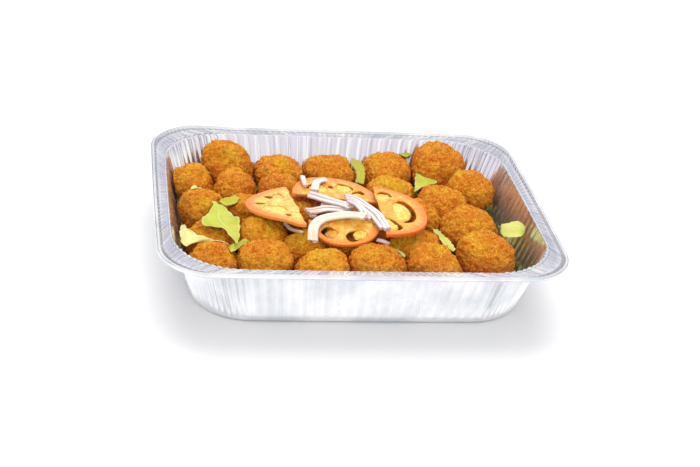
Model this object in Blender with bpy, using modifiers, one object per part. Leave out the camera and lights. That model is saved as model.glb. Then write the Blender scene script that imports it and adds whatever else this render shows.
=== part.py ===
"""Foil tray meal: fried chickpea patties on a bed of lettuce in a half-size foil pan, dressed in the
middle with half slices of tomato and strips of red onion.

Units are metres. +Z is up and +X runs along the pan's long side. The origin is the middle of the
pan's base. Tables of places and sizes are written in millimetres and degrees.
"""

import math

import bmesh
import bpy
import numpy as np
from mathutils import Matrix, Vector
from mathutils.bvhtree import BVHTree

MM = 0.001
GAP = 0.35 * MM

# The pan: its outside over the rolled bead, and how it narrows to the base
PAN_LENGTH = 323.9 * MM
PAN_WIDTH = 263.5 * MM
PAN_HEIGHT = 55.6 * MM
FOIL = 0.6 * MM
FLANGE = 12.4 * MM
BEAD_RADIUS = 1.9 * MM
FLANGE_DROP = 1.9 * MM
SLOPE_X = 15.0 * MM
SLOPE_Y = 9.5 * MM
BASE_ROUND = 6.0 * MM
LIP_ROUND = 1.5 * MM
BEAD_CORNER = 41 * MM
MOUTH_CORNER = 53 * MM
BASE_CORNER = 46 * MM
SIDE_BOW = 1.2 * MM
CORNER_STEPS = 7
SIDE_STEPS = 3
BASE_BEAD_IN = 14 * MM
BASE_BEAD_HIGH = 0.9 * MM

# The lettuce under the patties
BED_HEIGHT = 22 * MM
BED_UNEVEN = 6 * MM
BED_COLUMNS = 16
BED_ROWS = 13
BED_INSET = 1.6 * MM

# Patties: a ring of points this fine, and how lumpy they are
PATTY_AROUND = 12
PATTY_RINGS = 6
PATTY_BOXY = 0.88
PATTY_LUMPS = 0.035

# x, y, z of the middle, width, thickness, lean of its axis, compass way it leans (+X is 0)
PATTIES = (
    # against the back side, left to right
    (-94, 94, 34, 47, 32, 40, -80),
    (-49, 87, 30, 43, 30, 12, -80),
    (-3, 88, 30, 48, 30, 16, -60),
    (49, 93, 30, 48, 30, 16, -80),
    (96, 93, 36, 53, 33, 42, -68),
    # second row
    (-126, 58, 32, 39, 30, 25, -25),
    (-90, 51, 32, 39, 31, 14, -90),
    (-53, 47, 32, 41, 30, 5, 90),
    (-11, 46, 29, 42, 29, 5, 0),
    (44, 52, 30, 44, 30, 6, 45),
    (117, 56, 33, 42, 32, 18, -60),
    # third row
    (-121, 15, 32, 38, 30, 12, -90),
    (-83, 13, 29, 40, 29, 8, -45),
    (-38, 8, 32, 40, 29, 5, 0),
    (3, 6, 30, 42, 29, 5, 90),
    (61, 7, 30, 42, 30, 8, -60),
    (86, 27, 33, 43, 31, 15, -45),
    # fourth row
    (-115, -31, 29, 43, 28, 22, -110),
    (-74, -31, 32, 42, 31, 10, -90),
    (-42, -46, 29, 38, 29, 8, -90),
    (-8, -38, 30, 40, 28, 6, -90),
    (26, -19, 33, 36, 27, 0, 0),
    (50, -41, 28, 49, 28, 10, -60),
    (102, -8, 30, 50, 31, 16, -60),
    # along the front side
    (-118, -74, 29, 42, 28, 20, -110),
    (-77, -73, 32, 45, 32, 10, -90),
    (-32, -85, 31, 45, 30, 8, -90),
    (12.5, -77, 32, 47, 30, 18, -35),
    (57, -80, 34, 43, 31, 10, -80),
    (106, -58, 33, 50, 32, 14, -70),
)

# Half slices of tomato: x, y, z of the whole slice's middle, radius, compass way the round side
# points, dip of the round side, roll to its right, how far past the middle it was cut, how much it
# narrows to its round side, and its open seed chambers as (from angle, to angle, inner and outer
# part of the radius)
TOMATO_THICK = 5.0 * MM
TOMATO_AROUND = 22
CHAMBER_POINTS = 12
TOMATOES = {
    "left": (-50, -11, 51, 37.5, 184.7, 0, 6, 3, 0.31, ()),
    "back": (-11, 6, 49.5, 36.3, 88, 1, 5, 2, 0, ((42, 62, 0.55, 0.68),)),
    "right": (20, -20, 52.5, 40.2, -1, 4, 1, -1, 0, ((58, 138, 0.56, 0.73), (6, 19, 0.40, 0.82))),
    "front": (-9.5, -35, 52, 29, -90, 17, 4, 0, 0, ((34, 66, 0.40, 0.84), (84, 138, 0.44, 0.86))),
}

# Strips of red onion, laid in this order: width, height, and the route as (x, y, least height).
# The first ones lie under the tomato
ONION_SIDES = 6
ONION_STATIONS = 10
ONIONS_BELOW = {
    "thin_left": (2.4, 2.0, ((-57, -29, 40), (-52, -38, 40), (-44, -45, 40))),
    "pink_tip": (4.5, 2.2, ((14, -57, 42), (18.5, -59, 42), (23, -62, 42))),
}
ONIONS_ABOVE = {
    "white_arc_back": (5.0, 2.4, ((-28.5, 9, 51), (-27, 18, 51), (-23.5, 27, 51), (-16, 32, 51))),
    "pink_end_back": (3.2, 2.4, ((-36, 37, 50), (-36.3, 26, 50), (-36, 16, 50))),
    "grey_low": (5.0, 2.4, ((-27, -9, 51), (-19, -11, 51), (-12, -17, 51), (-5, -24, 51))),
    "white_down": (3.5, 2.2, ((-32, -22, 50), (-34, -27, 50), (-36, -34, 49))),
    "pink_left": (5.0, 2.4, ((-42, -32, 51), (-34, -28, 51), (-24, -22, 52), (-14, -23, 52), (-4, -28, 52))),
    "white_across": (6.0, 2.6, ((-37, 2, 54), (-28, -2, 54), (-18, -9, 54), (-9, -17, 54), (-2, -26, 53))),
    "inner_loop": (6.0, 2.6, ((-6, -19, 54), (0, -24, 54), (5, -30, 54), (7, -36, 54), (5, -41, 54))),
    "outer_loop": (
        7.0, 3.0,
        ((-7, -9, 54), (1, -10, 54), (8, -19, 54), (14, -31, 54), (17, -43, 53), (19, -51, 51),
         (20, -57, 49)),
    ),
    "big_arc": (
        8.0, 3.0,
        ((-38, -59, 43), (-37, -51, 46), (-34, -45, 50), (-28, -40, 53), (-19, -37.5, 54), (-9, -38, 54),
         (0, -42, 54), (6, -46, 54)),
    ),
}

# Pieces of lettuce leaf on and between the patties: the rib's route, as (x, y, least height, half
# width) points
LEAF_THICK = 0.8 * MM
LEAF_STATIONS = 6
LEAF_ACROSS = 3
LEAVES = {
    "big": ((-111, 4, 40, 2), (-110, -12, 40, 8), (-108, -28, 40, 16), (-102, -40, 38, 8), (-98, -51, 36, 2)),
    "rib_left": (
        (-138, -28, 38, 2), (-138, -45, 37, 5), (-132, -56, 37, 6), (-117, -57, 38, 3), (-103, -61, 38, 3),
    ),
    "tip_left": ((-104, -66, 36, 3), (-98, -61, 38, 5), (-91, -58, 38, 3)),
    "tip_second_row": ((-127, 34, 40, 1.5), (-124, 29, 40, 4), (-120, 25, 38, 2)),
    "cap_left": ((-105, 0, 38, 3), (-99, 5, 38, 5), (-93, 9, 38, 3)),
    "back_strip": ((24, 90, 38, 3), (21, 74, 38, 4), (16, 58, 38, 3)),
    "back_corner": ((64, 106, 35, 2), (69, 105, 35, 3.5), (74, 106, 35, 2)),
    "fold_right": ((70, 71, 36, 2), (74, 61, 36, 8), (66, 43, 36, 4)),
    "wall_right": ((124, -26, 36, 4), (132, -27, 40, 10), (139, -30, 43, 12), (144, -36, 45, 7)),
    "strip_right": ((67, -27, 38, 3), (70, -44, 38, 4), (73, -60, 38, 3)),
    "chip_front": ((28, -56, 32, 1.5), (33, -65, 32, 3.5), (37, -74, 32, 1.5)),
    "chip_back": ((-30, 62, 36, 2), (-29, 56, 38, 3), (-28, 51, 36, 2)),
}

PAN_COLOUR = (0.80, 0.80, 0.83)
PATTY_COLOUR = (0.50, 0.21, 0.045)
LETTUCE_COLOUR = (0.48, 0.62, 0.12)
TOMATO_COLOUR = (0.82, 0.28, 0.09)
ONION_COLOUR = (0.80, 0.72, 0.74)


def material(name, colour, roughness, metallic=0.0):
    """One plain finish."""
    made = bpy.data.materials.new(name)
    made.use_nodes = True
    shader = made.node_tree.nodes["Principled BSDF"]
    shader.inputs["Base Color"].default_value = (*colour, 1.0)
    shader.inputs["Roughness"].default_value = roughness
    shader.inputs["Metallic"].default_value = metallic
    return made


def add_object(name, vertices, faces, finish, group):
    """A named mesh object made of the given points and faces, its faces turned outward."""
    mesh = bpy.data.meshes.new(name)
    mesh.from_pydata([tuple(point) for point in vertices], [], faces)
    work = bmesh.new()
    work.from_mesh(mesh)
    bmesh.ops.recalc_face_normals(work, faces=work.faces)
    work.to_mesh(mesh)
    work.free()
    mesh.materials.append(finish)
    made = bpy.data.objects.new(name, mesh)
    group.objects.link(made)
    return made


def rounded_rectangle(half_x, half_y, corner, bow=0.0):
    """Points around a rounded rectangle whose sides bow out a little, anticlockwise."""
    points = []
    for quarter in range(4):
        sign_x = (1, -1, -1, 1)[quarter]
        sign_y = (1, 1, -1, -1)[quarter]
        middle = (sign_x * (half_x - corner), sign_y * (half_y - corner))
        for step in range(CORNER_STEPS + 1):
            angle = math.radians(90) * (quarter + step / CORNER_STEPS)
            points.append((middle[0] + corner * math.cos(angle), middle[1] + corner * math.sin(angle)))
        along = (half_x - corner, half_y - corner)[quarter % 2]
        end = points[-1]
        turn = (quarter + 1) * math.radians(90)
        for step in range(1, SIDE_STEPS):
            far = 2 * along * step / SIDE_STEPS
            points.append((end[0] - far * math.sin(turn), end[1] + far * math.cos(turn)))
    return [
        (x - math.copysign(bow, x) * (y / half_y) ** 2 * abs(x) / half_x,
         y - math.copysign(bow, y) * (x / half_x) ** 2 * abs(y) / half_y)
        for x, y in points
    ]


def pan_profile():
    """The pan's inner surface as (inset x, inset y, corner radius, height), base to bead."""
    floor_x = FLANGE + SLOPE_X + BASE_ROUND
    floor_y = FLANGE + SLOPE_Y + BASE_ROUND
    flange_height = PAN_HEIGHT - FLANGE_DROP
    rings = []
    # a shallow stiffening step in the base
    for inward, height in ((BASE_BEAD_IN, BASE_BEAD_HIGH), (BASE_BEAD_IN - 4 * MM, 0.0)):
        corner = BASE_CORNER - BASE_ROUND - inward
        rings.append((floor_x + inward, floor_y + inward, corner, FOIL + height))
    for step in range(4):
        angle = math.radians(30 * step * 0.92)
        out = BASE_ROUND * math.sin(angle)
        up = BASE_ROUND * (1 - math.cos(angle))
        rings.append((floor_x - out, floor_y - out, BASE_CORNER - BASE_ROUND + out, FOIL + up))
    # the wall's top turns outward into the flange
    wall_top = flange_height - LIP_ROUND
    rings.append((FLANGE + 0.3 * LIP_ROUND, FLANGE + 0.3 * LIP_ROUND, MOUTH_CORNER, wall_top))
    rings.append((FLANGE - LIP_ROUND, FLANGE - LIP_ROUND, MOUTH_CORNER, flange_height))
    bead_inner = 2 * BEAD_RADIUS
    rings.append((bead_inner + LIP_ROUND, bead_inner + LIP_ROUND, BEAD_CORNER + 2 * MM, flange_height))
    # the rolled bead, over the top and round underneath
    for step in range(7):
        angle = math.radians(165 - 42 * step)
        inset = BEAD_RADIUS - BEAD_RADIUS * math.cos(angle)
        height = PAN_HEIGHT - BEAD_RADIUS + BEAD_RADIUS * math.sin(angle)
        rings.append((inset, inset, BEAD_CORNER - inset, height))
    return rings


def build_pan(group, finish):
    """The foil pan: a loft through rounded rectangles, given its thickness outward."""
    vertices = []
    for inset_x, inset_y, corner, height in pan_profile():
        outline = rounded_rectangle(
            PAN_LENGTH / 2 - inset_x, PAN_WIDTH / 2 - inset_y, corner, SIDE_BOW
        )
        vertices += [(x, y, height) for x, y in outline]
    around = len(outline)
    rings = len(vertices) // around
    faces = [tuple(reversed(range(around)))]
    for ring in range(rings - 1):
        for here in range(around):
            there = (here + 1) % around
            low, high = ring * around, (ring + 1) * around
            faces.append((low + here, low + there, high + there, high + here))
    pan = add_object("tray", vertices, faces, finish, group)
    wall = pan.modifiers.new("foil", "SOLIDIFY")
    wall.thickness = FOIL
    wall.offset = -1
    wall.use_even_offset = True
    pan.data.shade_smooth()
    return pan


def wall_room(height):
    """Half sizes and corner radius of the room inside the pan at a height."""
    slope = min(max((height - BASE_ROUND) / (PAN_HEIGHT - FLANGE_DROP - BASE_ROUND), 0), 1)
    tuck = max(BASE_ROUND - height, 0) * 0.6
    half_x = PAN_LENGTH / 2 - FLANGE - SLOPE_X * (1 - slope) - FOIL - SIDE_BOW - GAP - tuck
    half_y = PAN_WIDTH / 2 - FLANGE - SLOPE_Y * (1 - slope) - FOIL - SIDE_BOW - GAP - tuck
    corner = BASE_CORNER + (MOUTH_CORNER - BASE_CORNER) * slope
    return half_x, half_y, corner


def keep_in_pan(point):
    """The point, moved inward if it would stand in the pan's wall."""
    half_x, half_y, corner = wall_room(point.z)
    x = max(-half_x, min(half_x, point.x))
    y = max(-half_y, min(half_y, point.y))
    over_x = abs(x) - (half_x - corner)
    over_y = abs(y) - (half_y - corner)
    reach = math.hypot(over_x, over_y)
    if over_x > 0 and over_y > 0 and reach > corner:
        x = math.copysign(half_x - corner + over_x * corner / reach, x)
        y = math.copysign(half_y - corner + over_y * corner / reach, y)
    return Vector((x, y, point.z))


def patty_points(place, chance):
    """A lumpy boxy ellipsoid's points: the two poles last."""
    x, y, z, width, thick, lean, toward = place
    half = width / 2 * MM
    half_thick = thick / 2 * MM
    waves = chance.uniform(0, 2 * math.pi, 3)
    longer = chance.uniform(0.95, 1.05)
    tilt_axis = Vector((-math.sin(math.radians(toward)), math.cos(math.radians(toward)), 0))
    turn = Matrix.Rotation(math.radians(lean), 3, tilt_axis) @ Matrix.Rotation(waves[0], 3, "Z")

    def on_surface(around, up):
        flat = abs(math.cos(up)) ** PATTY_BOXY
        rise = math.copysign(abs(math.sin(up)) ** PATTY_BOXY, up)
        lump = 1 + PATTY_LUMPS * math.sin(3 * around + waves[1]) * flat
        lump += PATTY_LUMPS * math.sin(2 * around + waves[2]) * math.cos(2 * up)
        local = Vector((
            half * longer * flat * math.cos(around) * lump,
            half / longer * flat * math.sin(around) * lump,
            half_thick * rise,
        ))
        return Vector((x * MM, y * MM, z * MM)) + turn @ local

    points = []
    for ring in range(1, PATTY_RINGS):
        up = math.radians(-90 + 180 * ring / PATTY_RINGS)
        for step in range(PATTY_AROUND):
            points.append(on_surface(2 * math.pi * step / PATTY_AROUND, up))
    points.append(on_surface(0, math.radians(-90)))
    points.append(on_surface(0, math.radians(90)))
    return points


def patty_faces():
    """Rings of squares closed by a fan at each pole."""
    faces = []
    bottom = (PATTY_RINGS - 1) * PATTY_AROUND
    top = bottom + 1
    last = bottom - PATTY_AROUND
    for here in range(PATTY_AROUND):
        there = (here + 1) % PATTY_AROUND
        for ring in range(PATTY_RINGS - 2):
            low = ring * PATTY_AROUND
            high = low + PATTY_AROUND
            faces.append((low + here, low + there, high + there, high + here))
        faces.append((bottom, there, here))
        faces.append((top, last + here, last + there))
    return faces


def press_together(patties):
    """Flatten each pair of patties where they meet, so that a thin gap is left between them."""
    middles = [Vector(place[:3]) * MM for place in PATTIES]
    for first in range(len(patties)):
        for second in range(first + 1, len(patties)):
            between = middles[second] - middles[first]
            if between.length > 62 * MM:
                continue
            way = between.normalized()
            reach_first = max((point - middles[first]).dot(way) for point in patties[first])
            reach_second = max((middles[second] - point).dot(way) for point in patties[second])
            over = reach_first + reach_second + GAP - between.length
            if over <= 0:
                continue
            limit_first = reach_first - over / 2
            limit_second = reach_second - over / 2
            for point in patties[first]:
                past = (point - middles[first]).dot(way) - limit_first
                if past > 0:
                    point -= way * past
            for point in patties[second]:
                past = (middles[second] - point).dot(way) - limit_second
                if past > 0:
                    point += way * past


def build_patties(group, finish, pile):
    """Every patty, pressed against its neighbours and the pan."""
    chance = np.random.default_rng(11)
    patties = [patty_points(place, chance) for place in PATTIES]
    patties = [[keep_in_pan(point) for point in points] for points in patties]
    press_together(patties)
    for number, points in enumerate(patties, 1):
        patty = add_object(f"patty_{number:02d}", points, patty_faces(), finish, group)
        patty.data.shade_smooth()
        pile.add(patty)


class Pile:
    """The food laid so far, for finding how high it stands at any place."""

    def __init__(self):
        self.trees = []

    def add(self, made):
        """Take in the finished surface of an object."""
        bpy.context.view_layer.update()
        seen = made.evaluated_get(bpy.context.evaluated_depsgraph_get())
        mesh = seen.to_mesh()
        points = [made.matrix_world @ vertex.co for vertex in mesh.vertices]
        self.trees.append(BVHTree.FromPolygons(points, [tuple(face.vertices) for face in mesh.polygons]))
        seen.to_mesh_clear()

    def top(self, x, y):
        """Height of the highest surface at a place."""
        found = [tree.ray_cast(Vector((x, y, 1)), Vector((0, 0, -1)))[0] for tree in self.trees]
        return max((hit.z for hit in found if hit), default=BED_HEIGHT)

    def underside(self, x, y):
        """Height of the lowest surface at a place, or a height above everything."""
        found = [tree.ray_cast(Vector((x, y, -1)), Vector((0, 0, 1)))[0] for tree in self.trees]
        return min((hit.z for hit in found if hit), default=PAN_HEIGHT)

    def rest(self, x, y, reach):
        """Height at which something this wide rests at a place."""
        spots = [(0, 0)]
        for step in range(8):
            angle = math.radians(45 * step)
            spots.append((reach * math.cos(angle), reach * math.sin(angle)))
            spots.append((reach * math.cos(angle) / 2, reach * math.sin(angle) / 2))
        return max(self.top(x + spot[0], y + spot[1]) for spot in spots)


def build_bed(group, finish, pile):
    """The lettuce: a low uneven slab with hollows where the patties lie in it."""
    chance = np.random.default_rng(4)
    waves = chance.uniform(0, 2 * math.pi, 6)
    rim_x, rim_y, _ = wall_room(BED_HEIGHT - BED_UNEVEN)
    foot_x, foot_y, _ = wall_room(BASE_ROUND)
    rim_x, rim_y = rim_x - BED_INSET, rim_y - BED_INSET
    foot_x, foot_y = foot_x - BED_INSET, foot_y - BED_INSET
    squeeze = 0.22

    def rough(x, y):
        wave = math.sin(x / (13 * MM) + waves[0]) * math.sin(y / (11 * MM) + waves[1])
        wave += 0.7 * math.sin(x / (7 * MM) + y / (9 * MM) + waves[2])
        return BED_HEIGHT + BED_UNEVEN * 0.4 * wave

    around = [(0, 0)]
    for reach in (4 * MM, 8.5 * MM):
        for step in range(8):
            angle = math.radians(45 * step)
            around.append((reach * math.cos(angle), reach * math.sin(angle)))
    top, foot = [], []
    for row in range(BED_ROWS + 1):
        for column in range(BED_COLUMNS + 1):
            across = 2 * column / BED_COLUMNS - 1
            along = 2 * row / BED_ROWS - 1
            pull_x = math.sqrt(1 - squeeze * along * along)
            pull_y = math.sqrt(1 - squeeze * across * across)
            ragged = 1 - 0.02 * (1 + math.sin(9 * across + 7 * along + waves[3]))
            x, y = rim_x * across * pull_x * ragged, rim_y * along * pull_y * ragged
            lowest = min(pile.underside(x + far[0], y + far[1]) for far in around) - 3 * GAP
            top.append((x, y, max(min(rough(x, y), lowest), 4 * MM)))
            foot.append((x * foot_x / rim_x, y * foot_y / rim_y, FOIL + GAP + BASE_BEAD_HIGH))
    width = BED_COLUMNS + 1
    count = len(top)
    faces = []
    for row in range(BED_ROWS):
        for column in range(BED_COLUMNS):
            here = row * width + column
            faces.append((here, here + 1, here + width + 1, here + width))
    edge = [column for column in range(BED_COLUMNS)]
    edge += [row * width + BED_COLUMNS for row in range(BED_ROWS)]
    edge += [BED_ROWS * width + column for column in range(BED_COLUMNS, 0, -1)]
    edge += [row * width for row in range(BED_ROWS, 0, -1)]
    lower = [foot[index] for index in edge]
    for here, index in enumerate(edge):
        there = (here + 1) % len(edge)
        faces.append((index, count + here, count + there, edge[there]))
    faces.append(tuple(range(count, count + len(edge))))
    return add_object("lettuce_bed", top + lower, faces, finish, group)


def slice_place(x, y, z, toward, dip, roll):
    """Where a slice lies: its round side, local +Y, points the given compass way."""
    turn = Matrix.Rotation(math.radians(toward - 90), 4, "Z")
    turn = turn @ Matrix.Rotation(math.radians(-dip), 4, "X") @ Matrix.Rotation(math.radians(roll), 4, "Y")
    return Matrix.Translation((x * MM, y * MM, z * MM)) @ turn


def slice_outline(radius, past, narrowing):
    """A disc of tomato cut straight across, a little past its middle, with faint lobes."""
    start = -math.asin(past / radius)
    points = []
    for step in range(TOMATO_AROUND + 1):
        angle = start + (math.pi - 2 * start) * step / TOMATO_AROUND
        lobed = radius * MM * (1 - 0.012 * (1 + math.sin(5 * angle)))
        narrow = 1 - narrowing * max(math.sin(angle), 0)
        points.append((lobed * math.cos(angle) * narrow, lobed * math.sin(angle)))
    return points


def chamber_outline(radius, chamber):
    """A rounded opening between two angles and two parts of the radius."""
    start, end, inner, outer = chamber
    middle = math.radians(start + end) / 2
    half_turn = math.radians(end - start) / 2
    points = []
    for step in range(CHAMBER_POINTS):
        angle = 2 * math.pi * step / CHAMBER_POINTS
        far = (inner + outer) / 2 + (outer - inner) / 2 * math.sin(angle)
        at = middle - half_turn * math.cos(angle)
        points.append((radius * MM * far * math.cos(at), radius * MM * far * math.sin(at)))
    return points


def build_tomatoes(group, finish, pile):
    """Each half slice is a flat outline with its open chambers, given its thickness."""
    for name, (x, y, z, radius, toward, dip, roll, past, narrowing, chambers) in TOMATOES.items():
        curve = bpy.data.curves.new(f"tomato_{name}", "CURVE")
        curve.dimensions = "2D"
        curve.fill_mode = "BOTH"
        curve.extrude = TOMATO_THICK / 2
        outlines = [slice_outline(radius, past, narrowing)]
        outlines += [chamber_outline(radius, chamber) for chamber in chambers]
        for outline in outlines:
            spline = curve.splines.new("POLY")
            spline.points.add(len(outline) - 1)
            for point, (along, out) in zip(spline.points, outline):
                point.co = (along, out, 0, 1)
            spline.use_cyclic_u = True
        curve.materials.append(finish)
        made = bpy.data.objects.new(f"tomato_{name}", curve)
        made.matrix_world = slice_place(x, y, z, toward, dip, roll)
        group.objects.link(made)
        pile.add(made)


def smooth_route(points, count):
    """Evenly spaced points on a smooth curve through the given ones."""
    ends = [points[0]] + list(points) + [points[-1]]
    dense = []
    for index in range(1, len(ends) - 2):
        before, start, end, after = (np.array(ends[index + shift], float) for shift in (-1, 0, 1, 2))
        for t in np.linspace(0, 1, 12, endpoint=False):
            dense.append(0.5 * (
                2 * start + (end - before) * t
                + (2 * before - 5 * start + 4 * end - after) * t ** 2
                + (3 * start - before - 3 * end + after) * t ** 3
            ))
    dense.append(np.array(points[-1], float))
    dense = np.array(dense)
    run = np.concatenate([[0], np.cumsum(np.linalg.norm(np.diff(dense[:, :2], axis=0), axis=1))])
    at = np.linspace(0, run[-1], count)
    return np.stack([np.interp(at, run, dense[:, axis]) for axis in range(dense.shape[1])], axis=1)


def side_ways(route):
    """The level direction across the route at each of its points."""
    along = np.gradient(route[:, :2], axis=0)
    along /= np.linalg.norm(along, axis=1)[:, None]
    return np.stack([-along[:, 1], along[:, 0]], axis=1)


def build_onions(strips, group, finish, pile):
    """Each strip is a flattened hexagon swept along its route, lying on what is below."""
    for name, (width, height, points) in strips.items():
        route = smooth_route(points, ONION_STATIONS) * MM
        ways = side_ways(route)
        low = np.array([pile.rest(x, y, (width / 2 + 1.2) * MM) for x, y, _ in route]) + 2 * GAP
        low = np.maximum(low, route[:, 2])
        lift = low.copy()
        for _ in range(6):
            lift[1:-1] = np.maximum(low[1:-1], (lift[:-2] + lift[2:]) / 2)
        vertices = []
        for (x, y, _), way, rise in zip(route, ways, lift):
            for side in range(ONION_SIDES):
                angle = 2 * math.pi * side / ONION_SIDES
                out = width / 2 * MM * math.cos(angle)
                up = height / 2 * MM * (1 + math.sin(angle) / math.sin(math.radians(60)))
                vertices.append((x + way[0] * out, y + way[1] * out, rise + up))
        faces = [tuple(range(ONION_SIDES))]
        for ring in range(ONION_STATIONS - 1):
            for side in range(ONION_SIDES):
                after = (side + 1) % ONION_SIDES
                here, there = ring * ONION_SIDES, (ring + 1) * ONION_SIDES
                faces.append((here + side, here + after, there + after, there + side))
        last = (ONION_STATIONS - 1) * ONION_SIDES
        faces.append(tuple(range(last, last + ONION_SIDES)))
        pile.add(add_object(f"onion_{name}", vertices, faces, finish, group))


def build_leaves(group, finish, pile):
    """Each piece of leaf is a thin sheet draped over what is below it."""
    for name, points in LEAVES.items():
        route = smooth_route(points, LEAF_STATIONS + 1) * MM
        ways = side_ways(route)
        spots = np.zeros((LEAF_STATIONS + 1, LEAF_ACROSS + 1, 2))
        for column in range(LEAF_ACROSS + 1):
            across = 2 * column / LEAF_ACROSS - 1
            spots[:, column] = route[:, :2] + ways * (across * route[:, 3])[:, None]
        low = np.array([[pile.rest(x, y, 3 * MM) for x, y in row] for row in spots]) + 2 * GAP
        low = np.maximum(low, route[:, 2:3])
        sheet = low.copy()
        for _ in range(3):
            spread = np.pad(sheet, 1, mode="edge")
            mean = (spread[:-2, 1:-1] + spread[2:, 1:-1] + spread[1:-1, :-2] + spread[1:-1, 2:]) / 4
            sheet = np.maximum(low, mean)
        vertices = [
            keep_in_pan(Vector((*spots[row, column], sheet[row, column])))
            for row in range(LEAF_STATIONS + 1)
            for column in range(LEAF_ACROSS + 1)
        ]
        width = LEAF_ACROSS + 1
        faces = []
        for row in range(LEAF_STATIONS):
            for column in range(LEAF_ACROSS):
                here = row * width + column
                faces.append((here, here + 1, here + width + 1, here + width))
        leaf = add_object(f"leaf_{name}", vertices, faces, finish, group)
        if leaf.data.polygons[0].normal.z < 0:
            leaf.data.flip_normals()
        thick = leaf.modifiers.new("leaf", "SOLIDIFY")
        thick.thickness = LEAF_THICK
        thick.offset = 1
        pile.add(leaf)


def clear_scene():
    """Start from an empty scene."""
    for item in list(bpy.data.objects):
        bpy.data.objects.remove(item, do_unlink=True)


def main():
    """Build the pan and lay the food in it, from the bottom up."""
    clear_scene()
    group = bpy.data.collections.new("foil_tray_meal")
    bpy.context.scene.collection.children.link(group)
    lettuce = material("lettuce", LETTUCE_COLOUR, 0.5)
    pile = Pile()
    build_pan(group, material("foil", PAN_COLOUR, 0.25, 1.0))
    build_patties(group, material("crust", PATTY_COLOUR, 0.75), pile)
    build_bed(group, lettuce, pile)
    build_leaves(group, lettuce, pile)
    onion = material("onion", ONION_COLOUR, 0.35)
    build_onions(ONIONS_BELOW, group, onion, pile)
    build_tomatoes(group, material("tomato", TOMATO_COLOUR, 0.3), pile)
    build_onions(ONIONS_ABOVE, group, onion, pile)


main()
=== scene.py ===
import math

import bmesh
import bpy
import numpy as np
from mathutils import Matrix, Vector
from mathutils.bvhtree import BVHTree


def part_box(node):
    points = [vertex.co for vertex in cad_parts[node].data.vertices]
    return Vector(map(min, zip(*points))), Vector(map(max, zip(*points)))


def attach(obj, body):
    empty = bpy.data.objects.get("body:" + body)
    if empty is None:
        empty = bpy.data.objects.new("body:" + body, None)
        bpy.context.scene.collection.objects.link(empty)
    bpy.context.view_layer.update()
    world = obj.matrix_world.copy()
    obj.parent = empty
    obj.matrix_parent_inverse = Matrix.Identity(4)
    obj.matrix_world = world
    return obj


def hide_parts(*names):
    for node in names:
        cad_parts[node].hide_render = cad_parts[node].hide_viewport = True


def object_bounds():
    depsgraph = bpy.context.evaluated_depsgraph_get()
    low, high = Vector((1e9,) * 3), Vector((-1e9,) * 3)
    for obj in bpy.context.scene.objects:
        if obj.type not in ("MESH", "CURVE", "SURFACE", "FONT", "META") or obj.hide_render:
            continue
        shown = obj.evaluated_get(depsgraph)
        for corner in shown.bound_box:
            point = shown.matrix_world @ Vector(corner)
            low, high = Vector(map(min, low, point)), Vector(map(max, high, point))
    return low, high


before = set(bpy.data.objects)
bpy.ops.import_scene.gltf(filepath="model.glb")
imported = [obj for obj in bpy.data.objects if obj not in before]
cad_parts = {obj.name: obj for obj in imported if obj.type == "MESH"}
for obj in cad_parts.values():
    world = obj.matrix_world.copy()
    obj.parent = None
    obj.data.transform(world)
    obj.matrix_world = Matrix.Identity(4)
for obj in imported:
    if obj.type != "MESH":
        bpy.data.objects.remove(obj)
cad_low, cad_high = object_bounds()

MM = 0.001
TURN = 2 * math.pi

# The pan: its outside over the rolled bead, and how it narrows to the base
PAN_LENGTH = 323.7 * MM
PAN_WIDTH = 263.3 * MM
PAN_HEIGHT = 55.6 * MM
FLANGE = 12.4 * MM
BEAD_RADIUS = 1.9 * MM
FLANGE_HEIGHT = PAN_HEIGHT - BEAD_RADIUS
SLOPE_X = 15.0 * MM
SLOPE_Y = 9.5 * MM
BASE_ROUND = 6.0 * MM
LIP_ROUND = 1.5 * MM
BEAD_CORNER = 41 * MM
MOUTH_CORNER = 53 * MM
BASE_CORNER = 46 * MM
SIDE_BOW = 1.2 * MM
FOIL_SHOWN = 0.3 * MM
FLOOR_LIFT = 0.5 * MM
FLUTE_PITCH = 9.5 * MM
PLEATS_A_CORNER = 15
WALL_LEAN = 0.44
CORNER_COLUMNS = 130
LONG_COLUMNS = 190
SHORT_COLUMNS = 130

# The foil's colours: a soft and a white own tone, the white also the painted highlight on the flute ridges;
# lilac, blue and cream are painted reflections; the grey, crease and fold colours are painted shade.
FOIL_WHITE = (0.90, 0.90, 0.905)
FOIL_SOFT = (0.69, 0.72, 0.745)
FOIL_LILAC_REFLECTION = (0.74, 0.70, 0.785)
FOIL_LINE_SHADE = (0.52, 0.50, 0.56)
FOIL_BLUE_REFLECTION = (0.60, 0.59, 0.72)
FOIL_CREAM_REFLECTION = (0.92, 0.89, 0.84)
FOIL_CREASE_SHADE = (0.34, 0.29, 0.38)
FOIL_FOLD_SHADE = (0.36, 0.35, 0.39)

LEAF_LIGHT = (0.55, 0.57, 0.065)
LEAF_DARK = (0.40, 0.46, 0.016)
LEAF_VIVID = (0.44, 0.385, 0.006)
LEAF_RIB = (0.88, 0.81, 0.36)


# ---------------- node trees

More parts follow.
